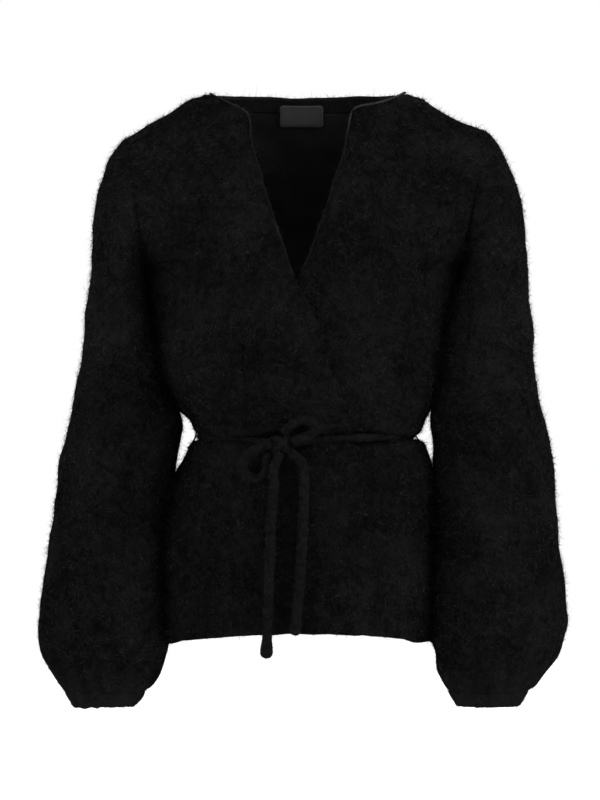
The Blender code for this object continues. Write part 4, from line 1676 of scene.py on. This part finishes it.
@dataclass(frozen=True)
class PileCoat:
    """One coat of hairs.

    Args:
        density: hairs on a square metre.
        shortest: the shortest hair.
        longest: the longest one.
        length_power: more of them are short for a larger power.
        root_radius: a hair's radius at its root.
        bend: how far its tip bends aside.
        highest_rise: how far up from the cloth the steepest hair stands, in radians.
        rise_power: more of them lie flat for a larger power.
        parts: straight parts in a hair.
        seed: fixes the draws.
        lowest_rise: how far up the flattest hair stands.
    """

    density: float
    shortest: float
    longest: float
    length_power: float
    root_radius: float
    bend: float
    highest_rise: float
    rise_power: float
    parts: int
    seed: int
    lowest_rise: float = 0.02

    def grow(self, host: bpy.types.Object, tree: PileTree, hair: bpy.types.Material) -> bpy.types.Mesh:
        """Grows the coat on a piece.

        Args:
            host: the piece, which is left as it was.
            tree: the tree that spreads the hairs.
            hair: their material.

        Returns:
            A plain mesh of the hairs.
        """
        values = {label: getattr(self, label.lower().replace(" ", "_")) for label in PileTree.INPUTS}
        return tree.applied(host, {**values, "Material": hair})


UNDERCOAT = PileCoat(
    density=58000, shortest=0.0026, longest=0.0068, length_power=1.3,
    root_radius=0.00020, bend=0.0010, highest_rise=1.15, rise_power=1.3,
    parts=1, seed=101,
)
LONG_HAIRS = PileCoat(
    density=38500, shortest=0.0055, longest=0.0160, length_power=1.8,
    root_radius=0.00017, bend=0.0022, highest_rise=0.80, rise_power=1.9,
    parts=2, seed=202,
)
EDGE_COAT = PileCoat(
    density=330000, shortest=0.0016, longest=0.0060, length_power=1.3,
    root_radius=0.00014, bend=0.0010, highest_rise=0.9, rise_power=1.5,
    parts=1, seed=404,
)
CORD_COAT = PileCoat(
    density=240000, shortest=0.0020, longest=0.0068, length_power=1.3,
    root_radius=0.00014, bend=0.0010, highest_rise=1.0, rise_power=1.5,
    parts=1, seed=303,
)
COATS = {"undercoat": UNDERCOAT, "long_hairs": LONG_HAIRS}


def grow_pile(
    host: bpy.types.Object, name: str, coat: PileCoat, tree: PileTree, hair: bpy.types.Material
) -> bpy.types.Object:
    """Grows a coat of hairs on a piece, as an object of its own.

    Args:
        host: the piece.
        name: the hairs' name.
        coat: the coat to grow.
        tree: the tree that spreads them.
        hair: their material.

    Returns:
        The hairs.
    """
    mesh = coat.grow(host, tree, hair)
    mesh.name = name
    mesh.materials.clear()
    mesh.materials.append(hair)
    for name_of_field in ("pile_share", "painted_light"):
        if name_of_field in mesh.attributes:
            mesh.attributes.remove(mesh.attributes[name_of_field])
    return link(name, mesh)


# Cords.


def smooth_route(points: tuple[Point, ...], count: int) -> np.ndarray:
    """Evenly spaced points on a smooth curve through a route's own points.

    Args:
        points: the route, in millimetres.
        count: how many points to make.

    Returns:
        The points, in metres.
    """
    route = np.array(points, float)
    ends = np.concatenate([[2 * route[0] - route[1]], route, [2 * route[-1] - route[-2]]])
    fine = []
    for p0, p1, p2, p3 in zip(ends, ends[1:], ends[2:], ends[3:]):
        for t in np.linspace(0, 1, CURVE_STEPS, endpoint=False):
            square = 2 * p0 - 5 * p1 + 4 * p2 - p3
            cube = 3 * p1 - p0 - 3 * p2 + p3
            fine.append((2 * p1 + (p2 - p0) * t + square * t**2 + cube * t**3) / 2)
    return resample(np.array(fine + [route[-1]]), count) * MM


def resample(path: np.ndarray, count: int) -> np.ndarray:
    """Evenly spaced points on a path.

    Args:
        path: its points, one row each.
        count: how many points to make.

    Returns:
        The points.
    """
    length = np.concatenate([[0], np.cumsum(np.linalg.norm(np.diff(path, axis=0), axis=1))])
    at = np.linspace(0, length[-1], count)
    return np.stack([np.interp(at, length, path[:, k]) for k in range(3)], axis=-1)


def smoothed(path: np.ndarray, times: int) -> np.ndarray:
    """A path with each inner point moved towards its neighbours, some times over.

    Args:
        path: its points, which are changed.
        times: how often.

    Returns:
        The same path.
    """
    for _ in range(times):
        path[1:-1] = (path[:-2] + 2 * path[1:-1] + path[2:]) / 4
    return path


def path_length(path: np.ndarray) -> float:
    """How long a path is."""
    return float(np.linalg.norm(np.diff(path, axis=0), axis=1).sum())


@dataclass(frozen=True)
class KnitTube:
    """The form of a knitted cord: stitches in columns round it, each a small V.

    Args:
        radius: the cord's mean radius.
        columns: stitches round it.
        stitch: length of a stitch along it.
        relief: how far a stitch stands out.
        sides: points round it.
        step: distance between its rings.
        lean: how far a stitch's arms trail, in stitches.
        roundness: how square a column is across.
        valley: how far a column stands out between two stitches.
        sunk: how far the relief lies below the mean radius.
        lumps: how its thickness varies.
        end_length: how much of its length an end is round for, in radii.
        tip: the square of the least radius there, in radii.
        start: the way that the seam's side is square to at the first ring.
        fewest: the fewest rings.
    """

    radius: float = 0.0049
    columns: int = 6
    stitch: float = 0.0034
    relief: float = 0.00075
    sides: int = 24
    step: float = 0.00085
    lean: float = 0.9
    roundness: float = 2.2
    valley: float = 0.55
    sunk: float = 0.45
    lumps: Ripple = Ripple(0.011, 0.035, 31)
    end_length: float = 0.8
    tip: float = 0.02
    start: Point = (0.0, 1.0, 0.2)
    fewest: int = 12

    def frames(self, path: np.ndarray) -> tuple[np.ndarray, np.ndarray]:
        """Two unit vectors across the path at each point, turned as little as can be.

        Args:
            path: its points, one row each.

        Returns:
            The first vectors and the second ones.
        """
        along = unit(np.gradient(path, axis=0))
        start = np.cross(along[0], self.start)
        side = [start / np.linalg.norm(start)]
        for way in along[1:]:
            kept = side[-1] - way * (side[-1] @ way)
            side.append(kept / np.linalg.norm(kept))
        first = np.array(side)
        return first, np.cross(along, first)

    def mesh(self, name: str, path: np.ndarray, swell: np.ndarray | None = None) -> bpy.types.Mesh:
        """A closed tube round a path.

        Args:
            name: the mesh's name.
            path: its middle line.
            swell: the radius at each point of the path, as a share of the usual one.

        Returns:
            The mesh, with a UV map of turns round and metres along.
        """
        length = path_length(path)
        rings = max(self.fewest, int(length / self.step))
        share = np.ones(len(path)) if swell is None else swell
        spots = np.linspace(0, 1, rings)
        line = resample(path, rings)
        share = np.interp(spots, np.linspace(0, 1, len(path)), share) * (1 + self.lumps.at(line))
        across, up = self.frames(line)
        turn = np.linspace(0, 2 * math.pi, self.sides, endpoint=False)
        s = spots * length
        column = (turn[None] * self.columns / (2 * math.pi)) % 1 - 0.5
        phase = s[:, None] / self.stitch + self.lean * np.abs(column)
        rib = 1 - (2 * np.abs(column)) ** self.roundness
        stitch = 0.5 + 0.5 * np.cos(2 * math.pi * phase)
        raised = self.relief * (rib * (self.valley + (1 - self.valley) * stitch) - self.sunk)
        inwards = np.clip(np.minimum(s, length - s)[:, None] / (self.radius * self.end_length), 0, 1)
        round_end = np.sqrt(np.clip(1 - (1 - inwards) ** 2, self.tip, 1))
        radius = (self.radius * share[:, None] + raised) * round_end
        spoke = across[:, None] * np.cos(turn)[None, :, None] + up[:, None] * np.sin(turn)[None, :, None]
        points = line[:, None] + spoke * radius[..., None]
        flat = np.concatenate([points.reshape(-1, 3), line[:1], line[-1:]])
        n, first, last = self.sides, rings * self.sides, rings * self.sides + 1
        faces: list[tuple[int, ...]] = []
        for i in range(rings - 1):
            for j in range(n):
                k = (j + 1) % n
                faces.append((i * n + j, i * n + k, (i + 1) * n + k, (i + 1) * n + j))
        base = (rings - 1) * n
        faces += [(first, (j + 1) % n, j) for j in range(n)]
        faces += [(last, base + j, base + (j + 1) % n) for j in range(n)]
        mesh = mesh_of(name, flat, faces)
        self._map(mesh, n, s)
        solid = bmesh.new()
        solid.from_mesh(mesh)
        bmesh.ops.recalc_face_normals(solid, faces=solid.faces[:])
        solid.to_mesh(mesh)
        solid.free()
        mesh.shade_smooth()
        return mesh

    def _map(self, mesh: bpy.types.Mesh, sides: int, s: np.ndarray) -> None:
        """Writes the tube's UV map.

        Args:
            mesh: the tube.
            sides: points round it.
            s: how far along the tube each ring is.
        """
        layer = mesh.uv_layers.new(name="knit")
        rings = len(s)
        for face in mesh.polygons:
            turns = [v % sides / sides if v < rings * sides else 0.0 for v in face.vertices]
            wrap = max(turns) - min(turns) > 0.5
            for loop, v, around in zip(face.loop_indices, face.vertices, turns):
                along = s[v // sides] if v < rings * sides else (s[0] if v == rings * sides else s[-1])
                layer.data[loop].uv = (around + 1 if wrap and around < 0.5 else around, along)


BAND_EDGES: dict[bool, tuple[Point, ...]] = {
    False: (
        (-104.5, -18.0, 2.6), (-98.9, -29.8, -0.4), (-90.4, -39.6, -6.4),
        (-82.4, -46.8, -11.2), (-73.0, -53.6, -15.4), (-66.4, -57.6, -17.8),
        (-61.9, -59.6, -21.2), (-59.8, -60.6, -27.6), (-60.8, -62.0, -35.6),
    ),
    True: (
        (106.0, -20.0, 3.6), (99.6, -34.0, -0.6), (91.0, -42.4, -4.8),
        (82.4, -49.4, -8.4), (74.6, -53.4, -11.2), (65.4, -57.0, -12.8),
        (56.2, -60.2, -13.4), (50.0, -62.2, -15.0), (45.6, -63.0, -20.0),
        (45.2, -64.4, -28.0), (44.8, -65.2, -36.0),
    ),
}


@dataclass(frozen=True)
class RolledEdge:
    """The knit edge that rolls over along half of the neckband and one side of the V.

    Args:
        wearer_left: which half it is on.
        tube: its form.
        highest: where it leaves the neckband for the V.
        lowest: how far down the V it can be seen.
        levels: how many points of the V's edge it goes through.
        band: half the height of the strip that each is looked for in.
        width: how fast the nearness to the edge falls, in millimetres.
        nearness: the least nearness that the strip's points have.
        ahead: how far in front of the edge it lies.
        thin: how thin it is down the V.
        thin_from: the heights where it is that thin and where it is full.
        count: points on its path.
    """

    wearer_left: bool
    tube: KnitTube = KnitTube(radius=0.0011, columns=3, stitch=0.0026, relief=0.0003, sides=10, step=0.0006)
    highest: float = -0.047
    lowest: float = -0.195
    levels: int = 22
    band: float = 0.0032
    width: float = 22.0
    nearness: float = 0.2
    ahead: float = 0.0004
    thin: float = 0.55
    thin_from: tuple[float, float] = (-0.12, -0.035)
    count: int = 120

    def path(self, front: bpy.types.Mesh) -> np.ndarray:
        """The neckband's edge, and then the V's edge as the front has it.

        Args:
            front: the front panel's mesh.

        Returns:
            The path's points.
        """
        points = points_of(front)
        at_edge = NeckLine().near_edge(points, self.wearer_left, self.width) > self.nearness
        points = points[(points[:, 1] < 0) & at_edge]
        sign = 1 if self.wearer_left else -1
        edge = []
        for height in np.linspace(self.highest, self.lowest, self.levels):
            level = points[np.abs(points[:, 2] - height) < self.band]
            edge.append(level[(sign * level[:, 0]).argmin()])
        band = np.array(BAND_EDGES[self.wearer_left]) * MM
        line = np.concatenate([band, np.array(edge) - (0, self.ahead, 0)])
        return resample(smoothed(line, 2), self.count)

    def build(self, front: bpy.types.Object, yarn: bpy.types.Material) -> bpy.types.Object:
        """Makes the rolled edge.

        Args:
            front: the front panel that it goes down.
            yarn: its material.

        Returns:
            The edge, thinner down the V than on the neckband.
        """
        path = self.path(front.data)
        thickness = np.interp(path[:, 2], self.thin_from, (self.thin, 1.0))
        side = "left" if self.wearer_left else "right"
        piece = link(f"rolled_edge_{side}", self.tube.mesh("rolled_edge", path, thickness))
        piece.data.materials.append(yarn)
        return piece


class CordEnd(Enum):
    """What a free cord's far end does."""

    BACK_IN_KNOT = "object"
    KNOB = "knot"
    CUT = "bare"


ROUTES: dict[str, tuple[Point, ...]] = {
    "bow_loop_upper": (
        (-24.2, -107.6, -363.7), (-22.8, -108.4, -359.6), (-19.2, -109.8, -355.6),
        (-12.0, -111.0, -350.6), (-1.5, -112.2, -347.4), (7.4, -112.0, -351.6),
        (8.4, -110.8, -358.8), (1.0, -111.0, -364.6), (-7.0, -111.6, -367.6),
        (-12.4, -111.4, -369.6), (-16.2, -109.5, -371.1),
    ),
    "bow_loop_lower": (
        (-37.9, -111.5, -373.0), (-42.6, -113.0, -373.6), (-49.4, -111.2, -376.6),
        (-58.6, -108.6, -382.0), (-66.0, -108.2, -389.8), (-67.4, -109.2, -400.0),
        (-60.6, -111.2, -408.0), (-50.0, -112.4, -408.8), (-43.2, -112.0, -402.4),
        (-42.6, -109.8, -394.0), (-41.2, -107.4, -387.8), (-37.2, -106.4, -383.0),
    ),
    "belt_tail_long": (
        (-29.0, -112.3, -383.0), (-30.2, -116.0, -386.8), (-32.8, -119.8, -392.0),
        (-35.2, -122.8, -401.0), (-35.0, -123.8, -421.0), (-37.4, -126.0, -452.0),
        (-39.0, -128.6, -484.0), (-39.8, -130.2, -516.0), (-40.4, -130.8, -547.0),
        (-41.8, -130.4, -572.0), (-42.9, -130.0, -597.2),
    ),
    "belt_tail_short": (
        (-18.8, -110.7, -380.6), (-15.8, -113.4, -383.4), (-11.4, -115.4, -386.4),
        (-6.2, -117.4, -391.8), (-3.6, -119.0, -401.0), (-3.2, -123.0, -432.0),
        (-4.4, -126.4, -463.0), (-6.4, -129.2, -495.0), (-8.6, -130.8, -526.0),
        (-10.8, -131.0, -552.0), (-12.6, -130.8, -573.2),
    ),
}
KNOT = np.array((-27.5, -105.4, -374.5)) * MM


@dataclass
class FreeCord:
    """A free part of the belt: a loop or a tail of the bow.

    Args:
        node: the CAD node that it replaces.
        end: what its far end does.
        lay: how it lies; not used.
        tube: its form.
        diameter: its thickness with its stitches; not used.
        count: points on its path.
        knob: its thickness at the last points of a tail with a knob, in parts of the usual one.
    """

    node: str
    end: CordEnd
    lay: str
    tube: KnitTube = KnitTube()
    diameter: float = 0.010
    count: int = 36
    knob: tuple[float, ...] = (0.96, 1.08, 1.30, 1.34, 1.12)

    def build(self, yarn: bpy.types.Material, hair: bpy.types.Material, tree: PileTree) -> bpy.types.Object:
        """Makes the cord and its fuzz, and logs its length.

        Args:
            yarn: the cord's material.
            hair: the fuzz's material.
            tree: the tree that grows the fuzz.

        Returns:
            The cord.
        """
        path = smooth_route(ROUTES[self.node], self.count)
        swell = np.ones(len(path))
        if self.end is CordEnd.KNOB:
            swell[-len(self.knob) :] = self.knob
        cord = link(f"{self.node}_cord", self.tube.mesh(self.node, path, swell))
        cord.data.materials.append(yarn)
        fuzz = grow_pile(evenly_furred(cord), f"{self.node}_fuzz", CORD_COAT, tree, hair)
        for piece in (cord, fuzz):
            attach(piece, BODY)
        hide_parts(self.node)
        LOG.info("%s: %.0f mm of cord", self.node, path_length(path) / MM)
        return cord


def evenly_furred(cord: bpy.types.Object) -> bpy.types.Object:
    """Gives a cord an even share of pile all over.

    Args:
        cord: the cord.

    Returns:
        The same cord.
    """
    share = cord.data.attributes.new("pile_share", "FLOAT", "POINT")
    share.data.foreach_set("value", np.ones(len(cord.data.vertices), np.float32))
    return cord


@dataclass
class Belt:
    """The part of the belt round the waist, and the knot that closes it.

    Args:
        tube: the belt's form.
        snug: the form of the turns drawn tight round the knot.
        heart: the size of the knot's inside, in parts of its solid.
        stops: how many places round the waist the belt's middle line is read at.
        sector: half the angle that is read at each.
        turns: the route of each turn round the knot's middle, in millimetres.
        count: points on a turn's path.
    """

    tube: KnitTube = KnitTube(radius=0.0040, step=0.0011)
    snug: KnitTube = KnitTube(radius=0.0043)
    heart: float = 0.9
    stops: int = 130
    sector: float = 0.045
    turns: tuple[tuple[Point, ...], ...] = (
        (
            (8.0, 5.0, 7.0),
            (7.2, -2.0, 6.6),
            (3.4, -5.6, 3.0),
            (-1.6, -6.4, -1.6),
            (-6.4, -4.0, -5.6),
            (-8.0, 4.0, -7.0),
        ),
        ((-8.4, 4.0, 5.6), (-6.8, -2.2, 5.2), (-2.6, -3.4, 4.2), (2.6, 1.0, 5.4)),
        ((8.0, 4.0, -5.4), (6.4, -2.4, -5.0), (2.0, -3.8, -4.6), (-3.0, 1.0, -6.0)),
    )
    count: int = 24

    def route(self) -> np.ndarray:
        """The belt's middle line, read from its solid by turning about the waist from the knot.

        Returns:
            The line's points.
        """
        points = points_of(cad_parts["belt"].data)
        about = points[:, :2] - (KNOT[0], 0.0)
        turn = (np.arctan2(about[:, 0], about[:, 1]) + math.pi) % (2 * math.pi)
        stops = np.linspace(turn.min(), turn.max(), self.stops)
        near = (points[np.abs(turn - stop) < self.sector] for stop in stops)
        middle = np.array([(group.min(0) + group.max(0)) / 2 for group in near if len(group)])
        return Waist().draw_in(smoothed(middle, 3))

    def build(self, yarn: bpy.types.Material, hair: bpy.types.Material, tree: PileTree) -> None:
        """Makes the belt and the knot, with their fuzz.

        Args:
            yarn: the cord's material.
            hair: the fuzz's material.
            tree: the tree that grows the fuzz.
        """
        coarse, _ = quads_of_node("belt_knot")
        core = link("belt_knot_coarse", coarse)
        modifier = core.modifiers.new("smooth", "SUBSURF")
        modifier.levels = modifier.render_levels = 2
        lump = evaluated_mesh(core)
        bpy.data.objects.remove(core)
        move_points(lump, KNOT + (points_of(lump) - KNOT) * self.heart)
        joined = bmesh.new()
        joined.from_mesh(lump)
        for k, turn in enumerate(self.turns):
            joined.from_mesh(self.snug.mesh(f"turn_{k}", smooth_route(turn, self.count) + KNOT))
        knot = bpy.data.meshes.new("belt_knot")
        joined.to_mesh(knot)
        joined.free()
        knot.materials.clear()
        knot.shade_smooth()
        belt = self.tube.mesh("belt", self.route())
        for node, mesh in (("belt", belt), ("belt_knot", knot)):
            piece = link(f"{node}_cord", mesh)
            piece.data.materials.append(yarn)
            fuzz = grow_pile(evenly_furred(piece), f"{node}_fuzz", CORD_COAT, tree, hair)
            for part in (piece, fuzz):
                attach(part, BODY)
            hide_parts(node)
            LOG.info("%s: %d faces", node, len(piece.data.polygons))


@dataclass
class ThreadLoop:
    """A thin loop of twisted thread at a side seam, which keeps the belt up.

    Args:
        node: the CAD node that it replaces.
        tube: its form.
        waist: how it is drawn in with the side.
        stops: how many heights its middle line is read at.
        slice: half the height that is read at each.
        count: points on its path.
    """

    node: str
    tube: KnitTube = KnitTube(radius=0.00095, columns=2, stitch=0.0022, relief=0.0003, sides=12, step=0.0003)
    waist: Waist = Waist(depth=0.0072, left_depth=0.0074)
    stops: int = 15
    slice: float = 0.0016
    count: int = 40

    def build(self, yarn: bpy.types.Material) -> None:
        """Makes the loop on its solid's own line.

        Args:
            yarn: its material.
        """
        points = points_of(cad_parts[self.node].data)
        z = points[:, 2]
        stops = np.linspace(z.min() + MM, z.max() - MM, self.stops)
        near = (points[np.abs(z - stop) < self.slice] for stop in stops)
        middle = np.array([(group.min(0) + group.max(0)) / 2 for group in near if len(group)])
        path = self.waist.draw_in(middle)
        piece = link(f"{self.node}_thread", self.tube.mesh(self.node, resample(path, self.count)))
        piece.data.materials.append(yarn)
        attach(piece, BODY)
        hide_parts(self.node)


# Label.


class StitchTree(GrowingTree):
    """Sets stitches along a line."""

    INPUTS = {"Pitch": 0.0021, "Length": 0.0014, "Radius": 0.00016}

    def spread(self) -> bpy.types.NodeSocket:
        """Sets a thin cylinder at each step along the line.

        Returns:
            The output that carries them.
        """
        line = self.add("GeometryNodeMeshToCurve", {}, {0: self.given["Geometry"]})
        steps = {0: line.outputs[0], "Length": self.given["Pitch"]}
        spaced = self.add("GeometryNodeCurveToPoints", {"mode": "LENGTH"}, steps)
        size = {"Vertices": 6, "Radius": self.given["Radius"], "Depth": self.given["Length"]}
        stitch = self.add("GeometryNodeMeshCylinder", {}, size)
        tangent = {"Vector": spaced.outputs["Tangent"]}
        way = self.add("FunctionNodeAlignRotationToVector", {"axis": "Z"}, tangent)
        points = spaced.outputs["Points"]
        sewn = {"Points": points, "Instance": stitch.outputs[0], "Rotation": way.outputs[0]}
        return self.add("GeometryNodeInstanceOnPoints", {}, sewn).outputs[0]


@dataclass
class NeckLabel:
    """A bare woven label, stitched on along its edge.

    Args:
        node: the CAD node that it replaces.
        flat: its width and height; not used.
        inset: how far from its edge the stitches are.
        clear: how far its lower edge stands out of the pile, which its upper edge does twice.
        count: stops along each side where the line of stitches is laid on it.
        near: how many of its points each stop is laid on.
        proud: how far the stitches lie in front of it.
        corner_hold: how far its corners are held out, from 0 to 1.
        take_up: its area in parts of width by height, less at the round corners; not used.
    """

    node: str = "label"
    flat: tuple[float, float] = (0.045, 0.0206)
    inset: float = 0.0014
    clear: float = 0.0022
    count: int = 24
    near: int = 8
    proud: float = 0.0001
    corner_hold: float = 0.8
    take_up: float = 0.99

    def edge_line(self, points: np.ndarray, low: np.ndarray, high: np.ndarray) -> np.ndarray:
        """The closed line that the stitches follow.

        Args:
            points: the label's points, one row each.
            low: its lowest corner.
            high: its highest corner.

        Returns:
            The line's points.
        """
        u = np.linspace(0, 1, self.count)
        none, full = np.zeros(self.count), np.ones(self.count)
        sides = ((u, none), (full, u), (1 - u, full), (none, 1 - u))
        ring = np.concatenate([np.stack(side, -1) for side in sides])
        span = high - low - 2 * self.inset
        x = low[0] + self.inset + ring[:, 0] * span[0]
        z = low[2] + self.inset + ring[:, 1] * span[2]
        away = (points[:, 0] - x[:, None]) ** 2 + (points[:, 2] - z[:, None]) ** 2
        y = np.array([points[np.argsort(row)[: self.near], 1].min() for row in away]) - self.proud
        return np.stack([x, y, z], -1)

    def build(self, weave: bpy.types.Material, thread: bpy.types.Material) -> None:
        """Makes the label and its stitches.

        Args:
            weave: the label's material.
            thread: the stitches' material.
        """
        coarse, corner = quads_of_node(self.node)
        holder = link("label_coarse", coarse)
        fine = smooth_through(holder, corner, 2, self.corner_hold)
        bpy.data.objects.remove(holder)
        fine.materials.clear()
        fine.materials.append(weave)
        label = link("neck_label", fine)
        low, high = (np.array(c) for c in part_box(self.node))
        points = points_of(fine)
        points[:, 1] -= self.clear + self.clear * (points[:, 2] - low[2]) / (high[2] - low[2])
        move_points(fine, points)
        rows = self.edge_line(points, low, high)
        line = bpy.data.meshes.new("label_edge")
        line.from_pydata(rows.tolist(), [(k, (k + 1) % len(rows)) for k in range(len(rows))], [])
        holder = link("label_edge", line)
        stitches = link("label_stitches", StitchTree("edge_stitches").applied(holder, {"Material": thread}))
        bpy.data.objects.remove(holder)
        for piece in (label, stitches):
            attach(piece, BODY)
        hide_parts(self.node)


# Studio.


@dataclass(frozen=True)
class SoftBox:
    """A large soft light aimed at the garment's middle.

    Args:
        name: its name.
        place: where it stands.
        size: its width and height.
        power: its power in watts.
        aim: the garment's middle.
    """

    name: str
    place: Point
    size: tuple[float, float]
    power: float
    aim: Point = (0.0, 0.0, -0.33)

    def build(self) -> None:
        """Makes the light."""
        lamp = bpy.data.lights.new(self.name, "AREA")
        lamp.shape = "RECTANGLE"
        lamp.size, lamp.size_y = self.size
        lamp.energy = self.power
        obj = bpy.data.objects.new(self.name, lamp)
        bpy.context.scene.collection.objects.link(obj)
        obj.location = self.place
        way = Vector(self.aim) - Vector(self.place)
        obj.rotation_euler = way.to_track_quat("-Z", "Y").to_euler()


@dataclass(frozen=True)
class Studio:
    """The camera, the pale floor and the soft lights.

    Args:
        eye: where the camera stands.
        lens: its focal length in millimetres.
        sensor: its sensor's width in millimetres.
        sight: how far it sees.
        floor_height: the floor's height.
        floor_radius: its radius.
        floor_sides: how many sides it has.
        surroundings: how bright the pale surroundings are.
        boxes: the lights.
    """

    eye: Point = (-0.00756, -4.0, -0.327)
    lens: float = 166.7
    sensor: float = 36.0
    sight: float = 100.0
    floor_height: float = -0.86
    floor_radius: float = 7.0
    floor_sides: int = 64
    surroundings: float = 1.005
    boxes: tuple[SoftBox, ...] = (
        SoftBox("left_box", (-2.6, -1.7, -0.1), (1.8, 1.8), 66.0),
        SoftBox("right_box", (2.6, -1.6, 0.7), (1.8, 2.4), 112.0),
        SoftBox("top_box", (0.2, -0.9, 2.6), (2.2, 2.2), 40.0),
        SoftBox("rear_box", (0.0, 3.0, 1.8), (3.0, 2.0), 60.0),
    )

    def build(self) -> None:
        """Makes the camera, then the floor, the lights and the pale surroundings."""
        lens = bpy.data.cameras.new("camera")
        lens.lens, lens.sensor_width = self.lens, self.sensor
        camera = bpy.data.objects.new("camera", lens)
        bpy.context.scene.collection.objects.link(camera)
        camera.location = self.eye
        camera.rotation_euler = (math.pi / 2, 0.0, 0.0)
        lens.clip_end = self.sight
        bpy.context.scene.camera = camera
        turn = np.linspace(0, 2 * math.pi, self.floor_sides, endpoint=False)
        ring = np.stack([np.cos(turn), np.sin(turn), np.zeros(self.floor_sides)], -1) * self.floor_radius
        rim = [tuple(range(self.floor_sides))]
        floor = link("floor", mesh_of("floor", ring + (0, 0, self.floor_height), rim))
        floor.data.materials.append(StudioPaper().make())
        for box in self.boxes:
            box.build()
        world = bpy.data.worlds.new("studio")
        bpy.context.scene.world = world
        world.use_nodes = True
        sky = world.node_tree.nodes["Background"]
        sky.inputs[0].default_value = (1.0, 1.0, 1.0, 1.0)
        sky.inputs[1].default_value = self.surroundings
        bpy.context.scene.view_settings.view_transform = "Standard"


CUT = (
    Cloth("back", (0.45, 0.60), Held.HUNG, ("neckband",), BACK_CREASES),
    Cloth("front_right", (0.29, 0.60), Held.HUNG, ("neckband", "belt"), FRONT_CREASES),
    Cloth("front_left", (0.30, 0.60), Held.HUNG, ("neckband", "belt"), FRONT_CREASES),
    Cloth("sleeve_right", (0.44, 0.60), Held.GATHERED, ("back", "front_right"), around=True),
    Cloth("sleeve_left", (0.46, 0.60), Held.GATHERED, ("back", "front_left"), around=True),
    Cloth("cuff_right", (0.26, 0.030), Held.STRETCHED, ("sleeve_right",), around=True),
    Cloth("cuff_left", (0.26, 0.030), Held.STRETCHED, ("sleeve_left",), around=True),
    Cloth("neckband", (0.52, 0.026), Held.STRETCHED, ("back", "front_right", "front_left")),
)


def main() -> None:
    """Builds the camera and the cords first, then the cloth and the label."""
    logging.basicConfig(level=logging.INFO, format="%(message)s")
    Studio().build()
    hair_tree = PileTree("grown_pile")
    yarn, cord_hair = CordYarn().make(), WoolHair("cord_hair").make()
    for cord in (
        FreeCord("bow_loop_upper", CordEnd.BACK_IN_KNOT, "loose"),
        FreeCord("bow_loop_lower", CordEnd.BACK_IN_KNOT, "loose"),
        FreeCord("belt_tail_long", CordEnd.KNOB, "hanging"),
        FreeCord("belt_tail_short", CordEnd.CUT, "hanging"),
    ):
        cord.build(yarn, cord_hair, hair_tree)
    Belt().build(yarn, cord_hair, hair_tree)
    for node in ("belt_loop_right", "belt_loop_left"):
        ThreadLoop(node).build(yarn)
    knit, hair = BrushedKnit().make(), WoolHair("pile_hair").make()
    edge_yarn = EdgeYarn().make()
    for piece in CUT:
        cloth = piece.build(knit)
        pile = [grow_pile(cloth, f"{piece.node}_{n}", coat, hair_tree, hair) for n, coat in COATS.items()]
        if piece.is_band:
            for front in (part for part in CUT if part.node.startswith("front")):
                edge = RolledEdge(front.wearer_left).build(front.obj, edge_yarn)
                host = evenly_furred(edge)
                pile += [edge, grow_pile(host, f"{edge.name}_fuzz", EDGE_COAT, hair_tree, hair)]
        piece.declare(pile)
        LOG.info("%s: %s triangles", piece.node, [triangles(part) for part in (cloth, *pile)])
    NeckLabel().build(LabelWeave().make(), yarn)


if __name__ == "__main__":
    main()
